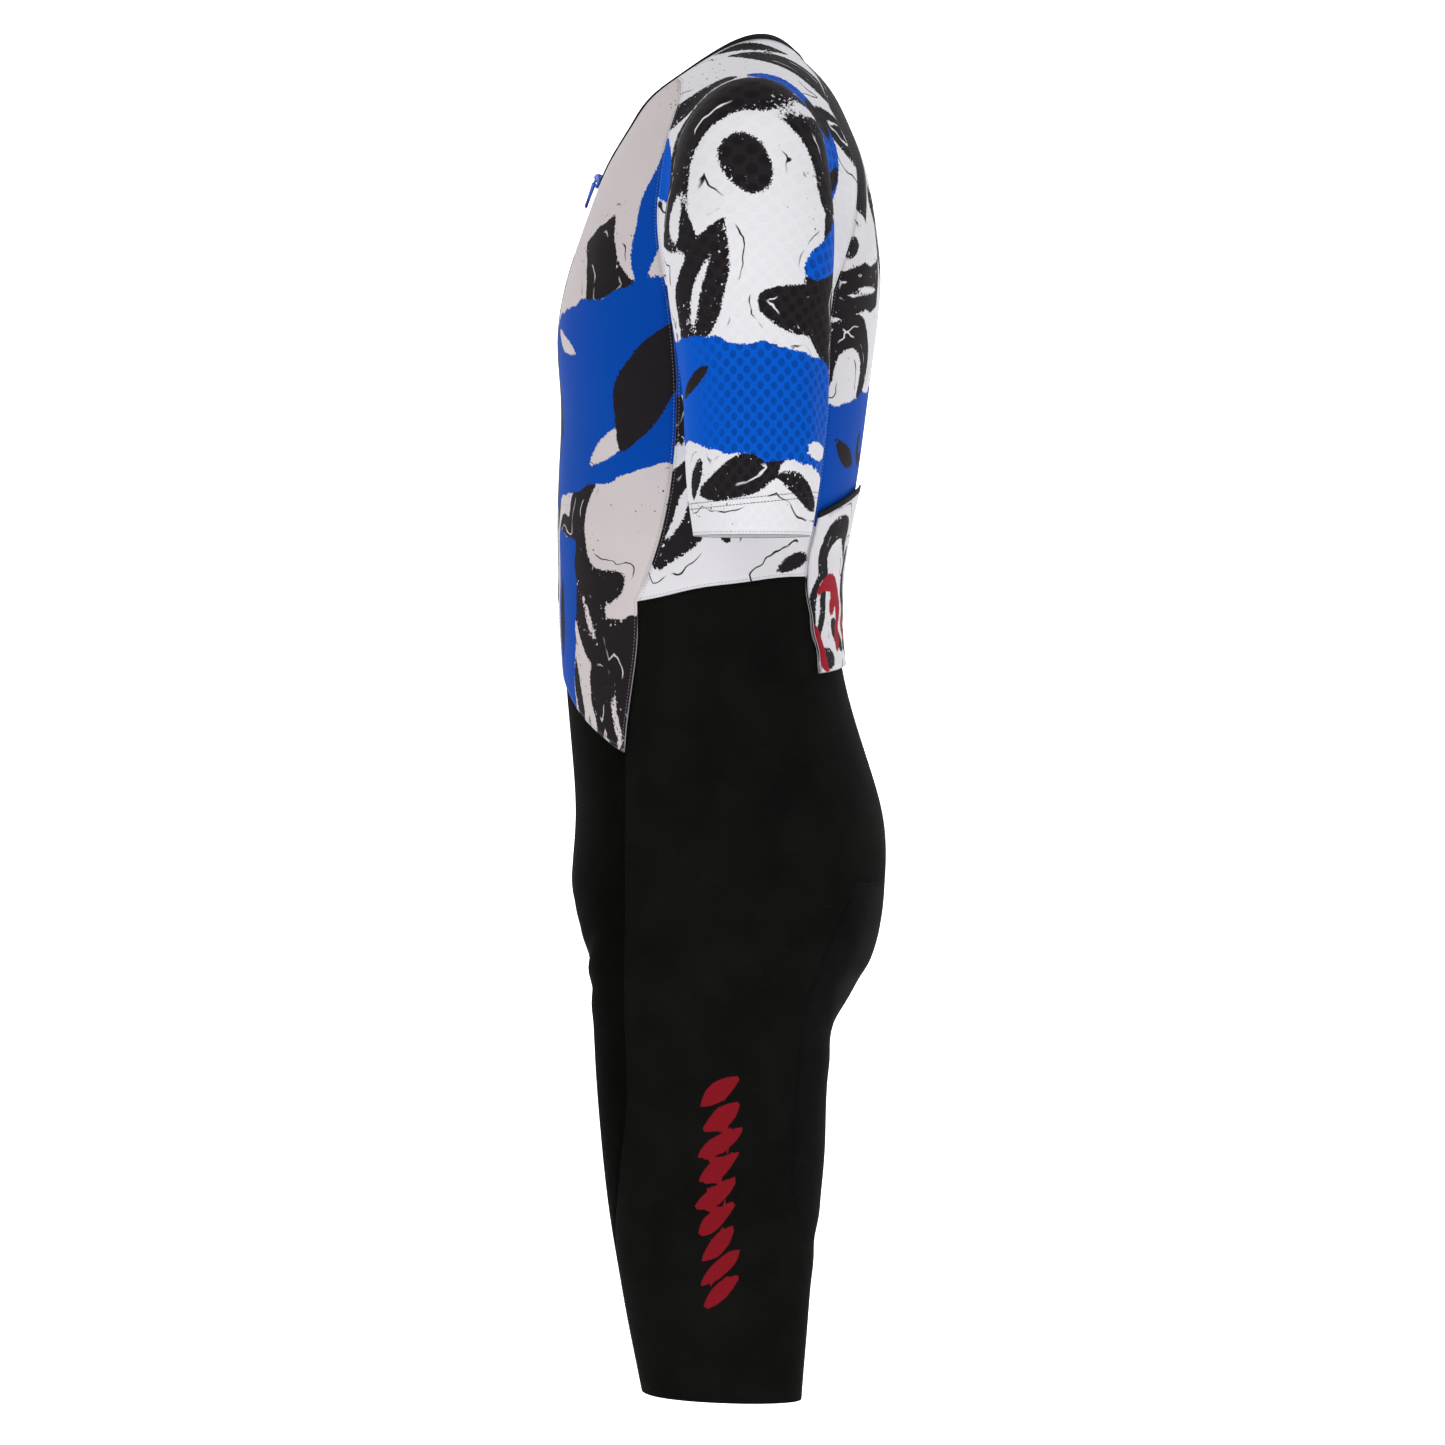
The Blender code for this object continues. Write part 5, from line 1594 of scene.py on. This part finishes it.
def panels() -> tuple[Panel, ...]:
    """Every cut piece of the suit. Flat sizes are a medium suit's cut, seam to seam."""
    made = [
        Panel("back", Spread.BACK, "white_print", Finish.BODY_KNIT, (285, 495), 0.75,
              ("side_left", "side_right", "sleeve_left", "sleeve_right"), PRINTS.back),
        Panel("neck_binding", Spread.BACK, "elastic", Finish.BINDING, (400, 12), 0.75, ("back",)),
        Panel("shorts_centre", Spread.SHORTS, "black_knit", Finish.COMPRESSIVE_KNIT, (72, 600), 0.69,
              ("shorts_inner_left", "shorts_inner_right")),
    ]
    for side in SIDES:
        right = side == "right"
        made += [
            Panel(f"front_{side}", Spread.FRONT, "grey_print", Finish.CHEST_KNIT, (190, 515), 0.76,
                  (f"side_{side}", f"sleeve_{side}"), PRINTS.chest, (10, -64) if right else (0, 0)),
            Panel(f"side_{side}", Spread.SIDE, "white_print", Finish.BODY_KNIT, (145, 235), 0.62,
                  ("back", f"front_{side}"), PRINTS.flank, (8, 14) if right else (0, 0)),
            Panel(f"sleeve_{side}", Spread.SLEEVE, "white_print", Finish.DIMPLED_KNIT, (340, 450), 0.75,
                  ("back", f"front_{side}"), PRINTS.sleeve, (10, -22) if right else (0, 0)),
            Panel(f"shorts_side_{side}", Spread.SHORTS, "black_knit", Finish.THIGH_KNIT, (298, 611), 0.66,
                  ("back", f"front_{side}"), PRINTS.thigh),
            Panel(f"shorts_inner_{side}", Spread.SHORTS, "black_knit", Finish.COMPRESSIVE_KNIT, (400, 565),
                  0.42, (f"shorts_side_{side}", "shorts_centre")),
            Panel(f"seat_{side}", Spread.SHORTS, "seat_weave", Finish.SEAT_WEAVE, (160, 275), 0.63,
                  (f"shorts_side_{side}",)),
            Panel(f"zip_tape_{side}", Spread.FRONT, "zip_tape", Finish.ZIP_TAPE, (12, 330), 0.98,
                  (f"front_{side}",)),
        ]
    for place, wide in (("left", 80), ("centre", 113), ("right", 80)):
        design = PRINTS.pocket_centre if place == "centre" else PRINTS.pocket_side
        made += [
            Panel(f"pocket_{place}", Spread.BACK, "pocket_print", Finish.BODY_KNIT, (wide, 136), 0.74,
                  ("back",), design, (6, 16) if place == "right" else (0, 0)),
            Panel(f"pocket_edge_{place}", Spread.BACK, "elastic", Finish.ELASTIC, (wide - 4, 10), 0.55,
                  ("back",)),
        ]
    return tuple(made)


def stitchings() -> tuple[Stitching, ...]:
    """The suit's threads and where each is sewn."""
    jersey = ("back", "front_left", "front_right", "side_left", "side_right", "sleeve_left", "sleeve_right")
    shorts = ("shorts_side_left", "shorts_side_right", "seat_left", "seat_right")
    return (
        Stitching("stitching_jersey", Finish.LIGHT_THREAD, "white_print", jersey),
        Stitching("stitching_shorts", Finish.BLACK_THREAD, "black_knit", shorts),
    )


def seam_cords() -> tuple[SeamCord, ...]:
    """The overlocked edges that close the seams."""
    jersey = ("back", "front_left", "front_right", "side_left", "side_right", "sleeve_left", "sleeve_right")
    shorts = ("shorts_side_left", "shorts_side_right", "shorts_inner_left", "shorts_inner_right")
    return (
        SeamCord("seam_edge_jersey", Finish.LIGHT_THREAD, "white_print", jersey),
        SeamCord("seam_edge_shorts", Finish.BLACK_THREAD, "black_knit", shorts + ("shorts_centre",)),
    )


def main() -> None:
    """Builds the suit piece by piece."""
    logging.basicConfig(level=logging.INFO, format="%(message)s")
    garment = Garment(panels())
    corners = garment.build()
    Coil().build()
    Slider().build()
    PullTab().build()
    for stitching in stitchings():
        stitching.build(garment, corners)
        LOG.info("%s", stitching.name)
    NeckRoll().build(garment, corners)
    HemLines().build()
    for cord in seam_cords():
        cord.build(garment, corners)
        LOG.info("%s", cord.name)
    Studio().build()


if __name__ == "__main__":
    main()
